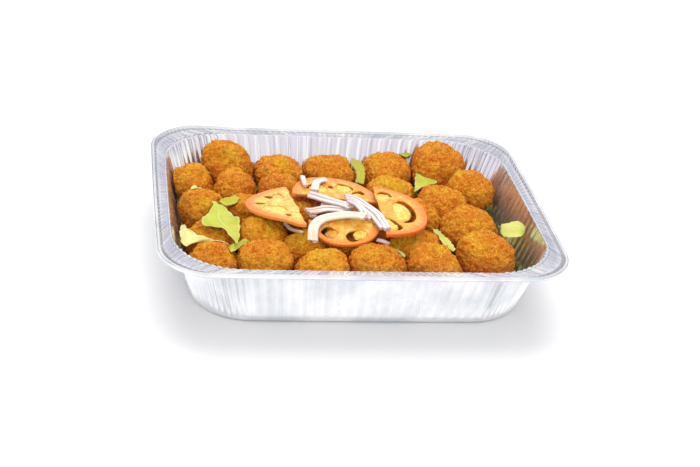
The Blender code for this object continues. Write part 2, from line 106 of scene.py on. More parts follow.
class Value:
    """What a node gives. Adding, multiplying and so on adds the Math nodes for it."""

    def __init__(self, sketch, socket):
        self.sketch = sketch
        self.socket = socket

    def math(self, operation, *others):
        return self.sketch.math(operation, self, *others)

    def __add__(self, other):
        return self.math("ADD", other)

    def __sub__(self, other):
        return self.math("SUBTRACT", other)

    def __rsub__(self, other):
        return self.sketch.math("SUBTRACT", other, self)

    def __mul__(self, other):
        return self.math("MULTIPLY", other)

    def __truediv__(self, other):
        return self.math("DIVIDE", other)

    def __rtruediv__(self, other):
        return self.sketch.math("DIVIDE", other, self)

    def __pow__(self, other):
        return self.math("POWER", other)

    def __abs__(self):
        return self.math("ABSOLUTE")

    def span(self, low, high, to_low=0.0, to_high=1.0, kind="SMOOTHSTEP"):
        """The place between two limits, as a place between two others."""
        given = {"Value": self, "From Min": low, "From Max": high, "To Min": to_low, "To Max": to_high}
        return self.sketch.get("ShaderNodeMapRange", given, interpolation_type=kind)


class Sketch:
    """Short ways of adding nodes to a tree, for finishes and for geometry alike."""

    def __init__(self, tree):
        self.tree = tree

    def node(self, kind, given=None, **settings):
        """Add a node, with its settings and what its inputs are given: values of nodes or constants."""
        made = self.tree.nodes.new(kind)
        for name, value in settings.items():
            setattr(made, name, value)
        for key, value in (given or {}).items():
            if isinstance(value, Value):
                self.tree.links.new(value.socket, made.inputs[key])
            else:
                made.inputs[key].default_value = value
        return made

    def get(self, kind, given=None, output=0, **settings):
        """Add a node and take one of its outputs."""
        return Value(self, self.node(kind, given, **settings).outputs[output])

    def math(self, operation, *values):
        return self.get("ShaderNodeMath", dict(enumerate(values)), operation=operation)

    def vector(self, operation, *values, output="Vector"):
        return self.get("ShaderNodeVectorMath", dict(enumerate(values)), output, operation=operation)

    def combined(self, x, y=0.0, z=0.0):
        return self.get("ShaderNodeCombineXYZ", {0: x, 1: y, 2: z})

    def split(self, vector):
        """The x, y and z of a vector."""
        return [Value(self, out) for out in self.node("ShaderNodeSeparateXYZ", {0: vector}).outputs]

    def noise(self, at, scale, detail=3.0, roughness=0.55, seed=0.0, twist=0.0):
        """Soft noise from 0 to 1."""
        given = {"Vector": at, "W": seed, "Scale": scale, "Detail": detail, "Roughness": roughness}
        given["Distortion"] = twist
        return self.get("ShaderNodeTexNoise", given, noise_dimensions="4D")

    def cells(self, at, scale, seed=0.0):
        """Distance to the middle of the nearest cell."""
        given = {"Vector": at, "W": seed, "Scale": scale}
        return self.get("ShaderNodeTexVoronoi", given, "Distance", voronoi_dimensions="4D")

    def blend(self, share, first, second):
        """Two colours in a share."""
        given = {0: share}
        for key, colour in ((6, first), (7, second)):
            given[key] = (*colour, 1.0) if isinstance(colour, tuple) else colour
        return self.get("ShaderNodeMix", given, 2, data_type="RGBA")


class Finish(Sketch):
    """A material with a Principled shader, and its coordinates."""

    def __init__(self, name, **sockets):
        self.material = bpy.data.materials.new(name)
        self.material.use_nodes = True
        super().__init__(self.material.node_tree)
        self.shader = self.tree.nodes["Principled BSDF"]
        for key, value in sockets.items():
            self.shader.inputs[key.replace("_", " ")].default_value = value
        self.at = self.get("ShaderNodeTexCoord", output="Object")

    def read(self, *attributes):
        """The values that the piece carries at each point under these names."""
        values = [self.get("ShaderNodeAttribute", None, "Fac", attribute_name=name) for name in attributes]
        return values if len(values) > 1 else values[0]

    def mottled(self, noise, first, second, low=0.35, high=0.65):
        """Two colours by a noise."""
        return self.blend(noise.span(low, high), first, second)

    def over(self, colour, *layers):
        """Tints laid over a colour one after another, each in its share."""
        for share, tint in layers:
            colour = self.blend(share, colour, tint)
        return colour

    def relief(self, height, distance, strength=1.0, below=None):
        """Bump of a given depth in metres, over an earlier one."""
        given = {"Height": height, "Distance": distance, "Strength": strength}
        if below is not None:
            given["Normal"] = below
        return self.get("ShaderNodeBump", given)

    def give(self, **values):
        """Link values to the shader, which makes the material ready."""
        for key, value in values.items():
            self.tree.links.new(value.socket, self.shader.inputs[key.replace("_", " ")])
        return self.material


class Shaper(Sketch):
    """A geometry tree with named sizes."""

    def __init__(self, name, **sizes):
        super().__init__(bpy.data.node_groups.new(name, "GeometryNodeTree"))
        faces = self.tree.interface
        for way in ("INPUT", "OUTPUT"):
            faces.new_socket("Geometry", in_out=way, socket_type="NodeSocketGeometry")
        self.keys = {}
        for size, value in sizes.items():
            kind = "NodeSocketInt" if isinstance(value, int) else "NodeSocketFloat"
            made = faces.new_socket(size.replace("_", " "), in_out="INPUT", socket_type=kind)
            made.default_value = value
            self.keys[size] = made.identifier
        self.start = self.node("NodeGroupInput")
        self.shape = self.size("Geometry")
        self.place = self.get("GeometryNodeInputPosition")
        self.facing = self.get("GeometryNodeInputNormal")

    def size(self, name):
        return Value(self, self.start.outputs[name.replace("_", " ")])

    def named(self, *names):
        """Values stored under these names."""
        kind = "GeometryNodeInputNamedAttribute"
        return [self.get(kind, {"Name": name}, "Attribute", data_type="FLOAT") for name in names]

    def keep(self, shape, **values):
        """Store values at each point under their names."""
        for name, value in values.items():
            given = {"Geometry": shape, "Name": name, "Value": value}
            shape = self.get("GeometryNodeStoreNamedAttribute", given, data_type="FLOAT", domain="POINT")
        return shape

    def placed(self, shape, *place):
        """The shape with each point at a new x, y and z."""
        return self.get("GeometryNodeSetPosition", {"Geometry": shape, "Position": self.combined(*place)})

    def swollen(self, height):
        """The shape pushed out along its normals."""
        given = {"Vector": self.facing, "Scale": height}
        offset = self.get("ShaderNodeVectorMath", given, "Vector", operation="SCALE")
        return self.get("GeometryNodeSetPosition", {"Geometry": self.shape, "Offset": offset})

    def strewn(self, density, apart, least_upright):
        """Points spread over the faces that look up, and how each one is turned."""
        upright = self.split(self.facing)[2]
        spread = self.node("GeometryNodeDistributePointsOnFaces", {
            "Mesh": self.shape, "Selection": upright.math("GREATER_THAN", least_upright),
            "Density Factor": 1.0, "Density Max": self.size(density), "Distance Min": apart,
            "Seed": self.size("Seed"),
        }, distribute_method="POISSON")
        return [Value(self, spread.outputs[name]) for name in ("Points", "Rotation")]

    def chance(self, kind, low, high, seed):
        """A random value for each point."""
        first = ("FLOAT_VECTOR", "FLOAT", "INT").index(kind)
        given = {2 * first: low, 2 * first + 1: high, "Seed": seed}
        return self.get("FunctionNodeRandomValue", given, first, data_type=kind)

    def end(self, shape, material):
        """Close the tree: plain geometry in its finish."""
        real = self.get("GeometryNodeRealizeInstances", {"Geometry": shape})
        made = self.get("GeometryNodeSetMaterial", {"Geometry": real, "Material": material})
        self.node("NodeGroupOutput", {"Geometry": made})
        return self

    def work_on(self, piece, **sizes):
        """Put the tree on a piece as its next modifier, with its own sizes."""
        step = piece.modifiers.new(self.tree.name, "NODES")
        step.node_group = self.tree
        for name, value in sizes.items():
            step[self.keys[name]] = value
        return piece


# ---------------- meshes

def shown(name, data):
    """A new object in the scene."""
    made = bpy.data.objects.new(name, data)
    bpy.context.scene.collection.objects.link(made)
    return made


def new_piece(name, vertices, faces):
    """A mesh object from points and faces."""
    mesh = bpy.data.meshes.new(name)
    mesh.from_pydata([tuple(point) for point in vertices], [], [tuple(face) for face in faces])
    mesh.update()
    return shown(name, mesh)


def grid_faces(rows, columns, first=0):
    """The quads between points laid row by row."""
    wide = columns + 1
    return [
        (here, here + 1, here + wide + 1, here + wide)
        for row in range(rows) for here in range(first + row * wide, first + row * wide + columns)
    ]


def add_step(piece, name, kind, **settings):
    """A modifier with its settings."""
    step = piece.modifiers.new(name, kind)
    for name, value in settings.items():
        setattr(step, name, value)


def settle(piece):
    """Turn a piece with its modifiers into a plain smooth mesh that lies at the origin."""
    bpy.context.view_layer.update()
    graph = bpy.context.evaluated_depsgraph_get()
    mesh = bpy.data.meshes.new_from_object(
        piece.evaluated_get(graph), preserve_all_data_layers=True, depsgraph=graph
    )
    mesh.transform(piece.matrix_world)
    name = piece.name
    bpy.data.objects.remove(piece, do_unlink=True)
    mesh.shade_smooth()
    return shown(name, mesh)


def spots(piece):
    """Every point of a plain mesh."""
    flat = np.empty(len(piece.data.vertices) * 3, np.float32)
    piece.data.vertices.foreach_get("co", flat)
    return flat.reshape(-1, 3).astype(float)


def move_spots(piece, places):
    piece.data.vertices.foreach_set("co", np.asarray(places, np.float32).ravel())
    piece.data.update()


def carry(piece, **named):
    """Give each point of a mesh numbers under names, or all points the same number."""
    for name, values in named.items():
        layer = piece.data.attributes.get(name) or piece.data.attributes.new(name, "FLOAT", "POINT")
        values = np.broadcast_to(np.asarray(values, np.float32), len(piece.data.vertices))
        layer.data.foreach_set("value", np.ascontiguousarray(values))


def rework(mesh, change):
    """Change a mesh through its editable form."""
    work = bmesh.new()
    work.from_mesh(mesh)
    change(work)
    work.to_mesh(mesh)
    work.free()


def merge(work):
    bmesh.ops.remove_doubles(work, verts=work.verts, dist=0.01 * MM)
    for edge in work.edges:
        edge.smooth = True


def copy_of(node, name):
    """A new piece with the merged mesh of a CAD node."""
    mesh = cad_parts[node].data.copy()
    mesh.materials.clear()
    rework(mesh, merge)
    return shown(name, mesh)


def tree_of(piece):
    """A search tree of a plain mesh."""
    mesh = piece.data
    return BVHTree.FromPolygons(
        [vertex.co for vertex in mesh.vertices], [tuple(face.vertices) for face in mesh.polygons]
    )


def top_at(search, x, y):
    """How high the highest surface stands at a place, or None."""
    hit = search.ray_cast(Vector((x, y, 1)), Vector((0, 0, -1)))[0]
    return hit.z if hit else None


def ramp(values, start, end):
    """From 0 at the start to 1 at the end."""
    return np.clip((values - start) / (end - start), 0, 1)


def hand_in(piece, slot, *nodes):
    """A finished piece: it rides the one body, and stands for its CAD nodes."""
    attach(piece, "root")
    if nodes:
        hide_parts(*nodes)


# ---------------- finishes

def foil_finish():
    """Bright foil with soft creases, with painted light: painted highlights on the flute ridges and painted
    lilac reflections in the troughs, painted blue and cream reflections along the flange, and painted shade
    in crinkle lines, corner pleats and the line between bead and flange.
    """
    foil = Finish("bright_foil", Metallic=0.88, Specular_IOR_Level=0.3)
    run, turns, side, leaning, flange, wall = foil.read(
        "side_run", "corner_turns", "side_share", "leaning", "flange_share", "wall_share"
    )
    stray = foil.noise(foil.at, 22, 1, seed=5.0) * 5.0
    phase = (run / FLUTE_PITCH * TURN + stray).math("SINE")
    way_round = foil.combined(run * 330, turns * 2.3)
    lines = foil.noise(way_round, 1.0, 2, 0.6)
    # Painted highlight on the flute ridges and along bright crinkle lines; the troughs get a painted lilac
    # reflection.
    ridge_highlight = phase.span(0.35, 0.85).math("MAXIMUM", lines.span(0.54, 0.66))
    # Painted shade: dark streaks across the corner pleats.
    crease_shade = foil.noise(way_round, 1.9, 2, seed=6.0).span(0.46, 0.38) * side.span(0.7, 0.0)
    # Painted shade: grey crinkle lines on the walls.
    reflected_bands = foil.over(
        foil.blend(ridge_highlight, FOIL_LILAC_REFLECTION, FOIL_WHITE),
        (lines.span(0.46, 0.34) * 0.6, FOIL_LINE_SHADE), (crease_shade * 0.75, FOIL_CREASE_SHADE),
    )
    # Painted reflection: blue and cream tints along the flange, bluer on the short sides.
    reflected_tint = foil.mottled(foil.noise(way_round, 0.35, 2, seed=2.0), FOIL_BLUE_REFLECTION, FOIL_CREAM_REFLECTION, 0.42, 0.60)
    short_side = abs(foil.split(foil.at)[0]).span(0.125, 0.148)
    # Painted shade: a dark line where the bead meets the flange.
    fold = abs(flange - 0.42).span(0.28, 0.08) * wall.span(0.10, 0.06)
    plain = foil.over(
        foil.mottled(foil.noise(foil.at, 30, 2), FOIL_SOFT, FOIL_WHITE),
        (flange * 0.75, foil.blend(short_side * 0.75, reflected_tint, FOIL_BLUE_REFLECTION)),
        # Painted shade: grey crinkle lines across the flange, and a dark line along the bead.
        (lines.span(0.47, 0.37) * (flange * 0.7), FOIL_LINE_SHADE), (fold * 0.7, FOIL_FOLD_SHADE),
    )
    # The painted reflection bands and highlights show only on the inner walls, where the surface faces
    # inward.
    facing = foil.get("ShaderNodeNewGeometry", output="Normal")
    level = foil.vector("MULTIPLY", foil.at, (1, 1, 0))
    inside = foil.vector("DOT_PRODUCT", facing, level, output="Value").span(0.01, -0.01)
    strength = ((leaning * 0.6 + 0.4) * inside).math("MAXIMUM", 0.18)
    crease = foil.noise(foil.at, 120, 2, 0.5)
    lean = foil.vector("ADD", facing, foil.combined(0.0, 0.0, leaning * WALL_LEAN))
    return foil.give(
        Base_Color=foil.blend(wall.span(0.1, 0.5) * strength, plain, reflected_bands),
        Roughness=crease.span(0.3, 0.7, 0.16, 0.28),
        Normal=foil.relief(crease, 0.5 * MM, 0.20, foil.vector("NORMALIZE", lean)),
    )


def crust_finish():
    """Fried chickpea crust: fine golden crumbs with darker cracks, here and there green, and painted shade
    darkening the lower sides.
    """
    crust = Finish(
        "fried_crust", Specular_IOR_Level=0.22, Subsurface_Weight=0.06,
        Subsurface_Radius=(0.004, 0.0015, 0.0005),
    )
    unripe, low = crust.read("unripe", "low")
    broad = crust.noise(crust.at, 70, 3, seed=1.0)
    middle = crust.noise(crust.at, 260, 4, 0.65, seed=2.0)
    fine = crust.noise(crust.at, 900, 3, 0.65, seed=3.0)
    grains = crust.cells(crust.at, 640, seed=4.0).span(0.18, 0.52)
    colour = crust.over(
        crust.mottled(broad, (0.84, 0.265, 0.009), (0.96, 0.455, 0.017), 0.35, 0.68),
        (middle.span(0.50, 0.34), (0.70, 0.175, 0.006)),
        (unripe * middle.span(0.30, 0.60), (0.93, 0.60, 0.010)),
        # Painted shade: darker, redder lower sides, and patties lying low among their neighbours.
        (low * 0.85, (0.58, 0.10, 0.004)),
        (grains * 0.45, (0.40, 0.075, 0.004)),
        (fine.span(0.52, 0.62) * middle.span(0.40, 0.58) * 0.9, (0.97, 0.62, 0.085)),
        (fine.span(0.44, 0.34) * middle.span(0.54, 0.40) * 0.55, (0.18, 0.036, 0.004)),
    )
    rough = crust.relief(1.0 - grains, 0.6 * MM, 0.7, crust.relief(fine, 1.2 * MM, 0.9))
    return crust.give(
        Base_Color=colour, Roughness=middle.span(0.3, 0.7, 0.70, 0.48),
        Normal=crust.relief(middle, 1.4 * MM, 0.6, rough),
    )


def lettuce_finish():
    """A lettuce leaf: pale rib and veins, yellow-green blade, thin enough to glow."""
    leaf = Finish(
        "lettuce_leaf", Roughness=0.42, Specular_IOR_Level=0.4, Subsurface_Weight=0.35,
        Subsurface_Radius=(0.003, 0.004, 0.001),
    )
    across, along, vivid, pale = leaf.read("across", "along", "vivid", "pale")
    across = abs(across)
    cloud = leaf.noise(leaf.at, 55, 3)
    branch = abs((along * 150 + across * -3.2 + cloud * 2.2).math("SINE"))
    veins = branch.span(0.10, 0.0).math("MAXIMUM", across.span(0.08, 0.03))
    colour = leaf.over(
        leaf.mottled(cloud, LEAF_DARK, LEAF_LIGHT), (veins * 0.30, LEAF_RIB),
        (across.span(0.80, 1.0) * 0.40, LEAF_RIB), (vivid, LEAF_VIVID), (pale, LEAF_RIB),
    )
    crinkle = leaf.relief(veins, 0.5 * MM, 0.6, leaf.relief(leaf.cells(leaf.at, 420), 0.5 * MM, 0.35))
    return leaf.give(
        Base_Color=colour, Normal=leaf.relief(leaf.noise(leaf.at, 160, 3), 1.2 * MM, 0.5, crinkle)
    )


def tomato_finish():
    """Cut tomato: red skin, peach wall with fine rays, yellow flesh inside it, and painted shade on the
    cavity walls.
    """
    cut = Finish(
        "cut_tomato", Subsurface_Weight=0.20, Subsurface_Radius=(0.005, 0.002, 0.0006),
        Specular_IOR_Level=0.25, Coat_Weight=0.05, Coat_Roughness=0.1,
    )
    inward, turn, yellowness, blush, hollow = cut.read("inward", "turn", "yellowness", "blush", "hollow")
    cloud = cut.noise(cut.at, 150, 3)
    rays = cut.noise(cut.combined(turn * 16, inward * 60), 1.0, 3)
    streaks = cut.noise(cut.combined(turn * 11, inward * 110), 1.0, 4, 0.65, seed=6.0, twist=0.6)
    patch = cut.noise(cut.at, 125, 3, seed=3.0).span(0.38, 0.62, -0.75, 0.30)
    orange = cut.mottled(cloud, (0.82, 0.28, 0.020), (0.89, 0.42, 0.050))
    yellow = cut.mottled(cloud, (0.82, 0.51, 0.066), (0.88, 0.68, 0.19), 0.30, 0.70)
    inner = cut.over(
        cut.blend((yellowness + patch).span(0.0, 1.0, kind="LINEAR"), orange, yellow),
        (rays.span(0.46, 0.36) * 0.45, (0.82, 0.27, 0.020)),
        (streaks.span(0.56, 0.66) * 0.75, (0.91, 0.78, 0.35)),
        (streaks.span(0.44, 0.34) * 0.65, (0.78, 0.27, 0.016)),
    )
    ripe = yellowness * 0.8
    colour = cut.over(
        cut.mottled(rays, (0.84, 0.17, 0.018), (0.90, 0.26, 0.026)),
        (inward.span(1.5 * MM, 6.5 * MM), cut.mottled(rays, (0.85, 0.27, 0.042), (0.92, 0.43, 0.115))),
        (ripe * ((1.0 - blush) * 0.7), (0.90, 0.42, 0.085)),
        ((inward + cloud * (4 * MM)).span(7.5 * MM, 11.5 * MM), inner),
        (blush * inward.span(9 * MM, 4 * MM), (0.83, 0.20, 0.034)),
        (inward.span(1.1 * MM, 0.2 * MM), cut.blend(ripe, (0.80, 0.13, 0.022), (0.88, 0.36, 0.060))),
        # Painted shade: the cavity walls below the cut face are dark brown.
        (rays.span(0.56, 0.70) * 0.5, (0.94, 0.62, 0.30)), (hollow * 0.85, (0.48, 0.135, 0.012)),
    )
    wet = cut.relief(rays, 0.4 * MM, 0.5)
    return cut.give(
        Base_Color=colour, Roughness=cloud.span(0.3, 0.7, 0.20, 0.40),
        Normal=cut.relief(cut.noise(cut.at, 420, 3), 0.5 * MM, 0.5, wet),
    )


def pulp_finish():
    """The jelly round the seeds, from orange to yellow, with painted shade darkening it towards the chamber
    edges where it lies low.
    """
    jelly = Finish(
        "tomato_pulp", Roughness=0.14, Subsurface_Weight=0.4, Subsurface_Radius=(0.005, 0.003, 0.0008),
        Coat_Weight=0.3, Coat_Roughness=0.06,
    )
    cloud = jelly.noise(jelly.at, 230, 3)
    deep = jelly.mottled(cloud, (0.45, 0.10, 0.010), (0.74, 0.26, 0.022))
    bright = jelly.mottled(cloud, (0.90, 0.50, 0.025), (0.90, 0.73, 0.145))
    return jelly.give(
        Base_Color=jelly.blend(jelly.read("tone"), deep, bright),
        Normal=jelly.relief(jelly.noise(jelly.at, 380, 2), 1.0 * MM, 0.6),
    )


def seed_finish():
    """Pale flat seeds."""
    seed = Finish("tomato_seed", Roughness=0.35)
    grain = seed.noise(seed.at, 900, 2)
    return seed.give(
        Base_Color=seed.blend(grain, (0.86, 0.58, 0.16), (0.93, 0.74, 0.30)),
        Normal=seed.relief(grain, 0.1 * MM, 0.4),
    )


def onion_finish():
    """Raw red onion: milky layers with fine lines, painted shade in the grooves where two layers meet,
    purple skin side.
    """
    layer = Finish(
        "red_onion", Roughness=0.30, Subsurface_Weight=0.40, Subsurface_Radius=(0.004, 0.003, 0.002),
        Coat_Weight=0.12, Coat_Roughness=0.12,
    )
    across, along, lilac_cast, glassy, blush, edged, groove = layer.read(
        "across", "along", "lilac", "glassy", "blush", "edged", "groove"
    )
    lines = layer.noise(layer.combined(across * 4.2, along * 34), 1.0, 3)
    cream = layer.mottled(lines, (0.76, 0.64, 0.50), (0.94, 0.86, 0.70), 0.34, 0.58)
    lilac = layer.mottled(lines, (0.68, 0.58, 0.57), (0.96, 0.90, 0.875), 0.38, 0.62)
    colour = layer.over(
        cream, (lilac_cast, lilac),
        (glassy * layer.noise(layer.at, 90, 2).span(0.3, 0.6), (0.68, 0.56, 0.46)),
        (blush * lines.span(0.2, 0.6, 1.0, 0.75), (0.70, 0.26, 0.30)),
        # Painted shade: the grooves where two layers meet are darker.
        (edged * across.span(0.35, 0.95), (0.40, 0.14, 0.24)), (groove * 0.8, (0.40, 0.29, 0.31)),
    )
    return layer.give(Base_Color=colour, Normal=layer.relief(lines, 0.6 * MM, 0.6))


FOIL = foil_finish()
CRUST = crust_finish()
LEAF = lettuce_finish()
TOMATO = tomato_finish()
PULP = pulp_finish()
SEED = seed_finish()
ONION = onion_finish()


# ---------------- the pan

# The raised panel of the base: how far in from the rounding, and how high
RAISED_PANEL = ((14 * MM, 0.9 * MM), (12 * MM, 0.8 * MM), (10.5 * MM, 0.1 * MM), (9 * MM, 0), (0, 0))
# Rings in the rounding at the foot, up the wall, and across the flange
FOOT_STEPS = 8
FOOT_ANGLE = 83
WALL_STEPS = 15
FLANGE_STEPS = 9
# How deep the flange dips between lip and bead, and the bead's turn in degrees: from, to and step
FLANGE_DIP = 0.35 * MM
BEAD_TURN = (168, -196, -21)
# How strongly the base is dented, as a share of the walls
BASE_SHARE = 0.12
# Where the flutes and the lean of the long sides end, as shares of a corner's turn
FLUTE_FADE = 0.10
LEAN_FADE = 0.12


def pan_columns():
    """For every column round the pan: quarter, share of the corner, share of the side, if in a corner."""
    columns = []
    for quarter in range(4):
        side = (LONG_COLUMNS, SHORT_COLUMNS)[quarter % 2]
        columns += [(quarter, step / CORNER_COLUMNS, 0.0, True) for step in range(CORNER_COLUMNS)]
        columns += [(quarter, 1.0, step / side, False) for step in range(side)]
    return columns


def ring_points(half_x, half_y, corner, columns):
    """The rounded rectangle at those columns, anticlockwise from the back end of the right side."""
    points = []
    for quarter, turn, share, _ in columns:
        angle, heading = TURN / 4 * (quarter + turn), TURN / 4 * (quarter + 1)
        x = (1, -1, -1, 1)[quarter] * (half_x - corner) + corner * math.cos(angle)
        y = (1, 1, -1, -1)[quarter] * (half_y - corner) + corner * math.sin(angle)
        along = 2 * ((half_x, half_y)[quarter % 2] - corner) * share
        x, y = x - along * math.sin(heading), y + along * math.cos(heading)
        points.append((
            x - math.copysign(SIDE_BOW, x) * (y / half_y) ** 2 * abs(x) / half_x,
            y - math.copysign(SIDE_BOW, y) * (x / half_x) ** 2 * abs(y) / half_y,
        ))
    return points


def flute_tree():
    """Presses upright flutes in the sides, pleats in the corners and ribs across the flange."""
    tree = Shaper(
        "press_flutes", Flute_pitch=FLUTE_PITCH, Flute_depth=0.7 * MM, Pleat_depth=2.4 * MM,
        Rib_depth=1.0 * MM, Rim_pleat_depth=1.6 * MM, Dent_depth=0.9 * MM, Seed=3,
    )
    run, turns, side, wall, flange = tree.named(
        "side_run", "corner_turns", "side_share", "wall_share", "flange_share"
    )
    turn = run / tree.size("Flute_pitch") * TURN
    number = turns.math("FLOOR")
    chance = tree.get(
        "ShaderNodeTexWhiteNoise", {"W": number + tree.size("Seed")}, "Value", noise_dimensions="1D"
    )
    fold = (1.0 - abs((turns - number) * 2.0 - 1.0)) ** 0.8 - 0.5
    fold = fold * chance.span(0.0, 1.0, 0.45, 1.15, "LINEAR")

    def pressed(wave, wave_depth, fold_depth):
        """Waves along the sides and folds in the corners, as deep as the named sizes."""
        return wave * tree.size(wave_depth) * (side * 0.5) + fold * tree.size(fold_depth) * (1.0 - side)

    flutes = pressed(turn.math("SINE"), "Flute_depth", "Pleat_depth") * wall
    ribs = pressed((turn * 2.0).math("SINE"), "Rib_depth", "Rim_pleat_depth") * flange
    dents = (tree.noise(tree.place, 34, 2) - 0.5) * tree.size("Dent_depth") * (wall + 0.15)
    return tree.end(tree.swollen(flutes + ribs + dents), FOIL)


def foil_sheet(name, rings, columns, tree, close_middle=False):
    """One strip of the pan from its rings: inset x, inset y, corner, height, wall share, flange share."""
    around = len(columns)
    vertices, wall, flange, faces = [], [], [], []

    def join(low, high):
        """Add the faces between two rings, given by their first points."""
        for here in range(around):
            there = (here + 1) % around
            faces.append((low + here, high + here, high + there, low + there))

    for inset_x, inset_y, corner, height, wall_share, flange_share in rings:
        if vertices:
            join(len(vertices) - around, len(vertices))
        outline = ring_points(PAN_LENGTH / 2 - inset_x, PAN_WIDTH / 2 - inset_y, corner, columns)
        vertices += [(x, y, height) for x, y in outline]
        wall += [wall_share] * around
        flange += [flange_share] * around
    if close_middle:
        inner, last = vertices[:around], 0
        for share in (0.8, 0.6, 0.4, 0.2):
            join(len(vertices), last)
            last = len(vertices)
            vertices += [(x * share, y * share, z) for x, y, z in inner]
        faces += [(len(vertices), last + here, last + (here + 1) % around) for here in range(around)]
        vertices.append((0, 0, inner[0][2]))
        wall += [BASE_SHARE] * (len(vertices) - len(wall))
        flange += [0.0] * (len(vertices) - len(flange))
    sheet = new_piece(name, vertices, faces)
    each = []
    for quarter, turn, share, in_corner in columns:
        half = (PAN_LENGTH, PAN_WIDTH)[quarter % 2] / 2 - FLANGE - MOUTH_CORNER
        on_side = 1 - min(min(turn, 1 - turn) / FLUTE_FADE, 1) if in_corner else 1
        from_long = (1 - turn) if quarter % 2 else turn
        leaning = min(1, max(0, from_long / LEAN_FADE - 1)) if in_corner else (quarter + 1) % 2
        pleats = turn * PLEATS_A_CORNER + quarter * (PLEATS_A_CORNER + 3)
        each.append((half * (1 - 2 * share), pleats, on_side, leaning))
    run, turns, side, leaning = np.resize(each, (len(vertices), 4)).T
    carry(
        sheet, side_run=run, corner_turns=turns, side_share=side,
        leaning=leaning * np.minimum(np.array(wall) * 2, 1), wall_share=wall, flange_share=flange,
    )
    tree.work_on(sheet)
    add_step(sheet, "foil", "SOLIDIFY", thickness=FOIL_SHOWN, offset=-1)
    return settle(sheet)


def build_pan():
    """Base, walls, and flange with its rolled bead."""
    floor_x, floor_y = FLANGE + SLOPE_X + BASE_ROUND, FLANGE + SLOPE_Y + BASE_ROUND
    base_corner = BASE_CORNER - BASE_ROUND
    base = [
        (floor_x + inward, floor_y + inward, base_corner - inward, FLOOR_LIFT + high, BASE_SHARE, 0.0)
        for inward, high in RAISED_PANEL
    ]
    walls = []
    for step in range(FOOT_STEPS + 1):
        angle = math.radians(FOOT_ANGLE * step / FOOT_STEPS)
        out, up = BASE_ROUND * math.sin(angle), BASE_ROUND * (1 - math.cos(angle))
        share = max(0.0, (step - 3) / FOOT_STEPS) ** 1.5 * 0.8 if step else BASE_SHARE
        walls.append((floor_x - out, floor_y - out, base_corner + out, FLOOR_LIFT + up, share, 0.0))
    # The flutes grow from the foot, are full from a quarter of the way up and weaken near the mouth
    foot = walls[-1][:4]
    mouth, mouth_height = FLANGE + 0.3 * LIP_ROUND, FLANGE_HEIGHT - LIP_ROUND
    for step in range(1, WALL_STEPS + 1):
        share = step / WALL_STEPS
        top = (mouth, mouth, MOUTH_CORNER, mouth_height)
        place = [one + (two - one) * share for one, two in zip(foot, top)]
        wall_share = min(1.0, 0.45 + share * 2.2) * (1 - 0.35 * max(0, share - 0.8) / 0.2)
        walls.append((*place, wall_share, 0.0))
    for degrees, share in ((25, 0.5), (50, 0.35), (75, 0.2)):
        angle = math.radians(degrees)
        inset, height = mouth - LIP_ROUND * (1 - math.cos(angle)), mouth_height + LIP_ROUND * math.sin(angle)
        walls.append((inset, inset, MOUTH_CORNER - 1 * MM, height, share, 0.25))
    lip, lip_corner = FLANGE - LIP_ROUND, MOUTH_CORNER - 2 * MM
    walls.append((lip, lip, lip_corner, FLANGE_HEIGHT, 0.15, 0.5))
    rims = [walls[-1]]
    flat_end = 2 * BEAD_RADIUS + 1.3 * MM
    for step in range(1, FLANGE_STEPS + 1):
        share = step / FLANGE_STEPS
        inset = lip + (flat_end - lip) * share
        corner = lip_corner + (BEAD_CORNER + 2 * MM - lip_corner) * share
        height = FLANGE_HEIGHT - FLANGE_DIP * math.sin(math.pi * share)
        rims.append((inset, inset, corner, height, 0.05, 1.0 if share < 0.75 else 0.7))
    radius = BEAD_RADIUS - 0.05 * MM
    for degrees in range(*BEAD_TURN):
        angle = math.radians(degrees)
        inset, height = BEAD_RADIUS - radius * math.cos(angle), FLANGE_HEIGHT + radius * math.sin(angle)
        rims.append((inset, inset, BEAD_CORNER - inset, height, 0.0, 0.12 if degrees > 90 else 0.0))
    columns, tree = pan_columns(), flute_tree()
    floor = foil_sheet("foil_base", base, columns, tree, close_middle=True)
    sides = foil_sheet("foil_walls", walls, columns, tree)
    rim = foil_sheet("foil_rim", rims, columns, tree)
    raise_overlap(rim)
    hand_in(sides, "foil", "tray")
    hand_in(floor, "foil")
    hand_in(rim, "foil")


def raise_overlap(rim):
    """At the back left the two ends of the bead lie over each other, so it stands a little higher."""
    places = spots(rim)
    along = ramp(places[:, 0], -98 * MM, -100 * MM) * ramp(places[:, 0], -152 * MM, -132 * MM)
    near = (places[:, 1] > PAN_WIDTH / 2 - 34 * MM) & (places[:, 2] > PAN_HEIGHT - 3.9 * MM)
    outer = ramp(places[:, 2], PAN_HEIGHT - 2.4 * MM, PAN_HEIGHT - 1.2 * MM)
    places[:, 2] += 0.9 * MM * along * near * outer
    move_spots(rim, places)


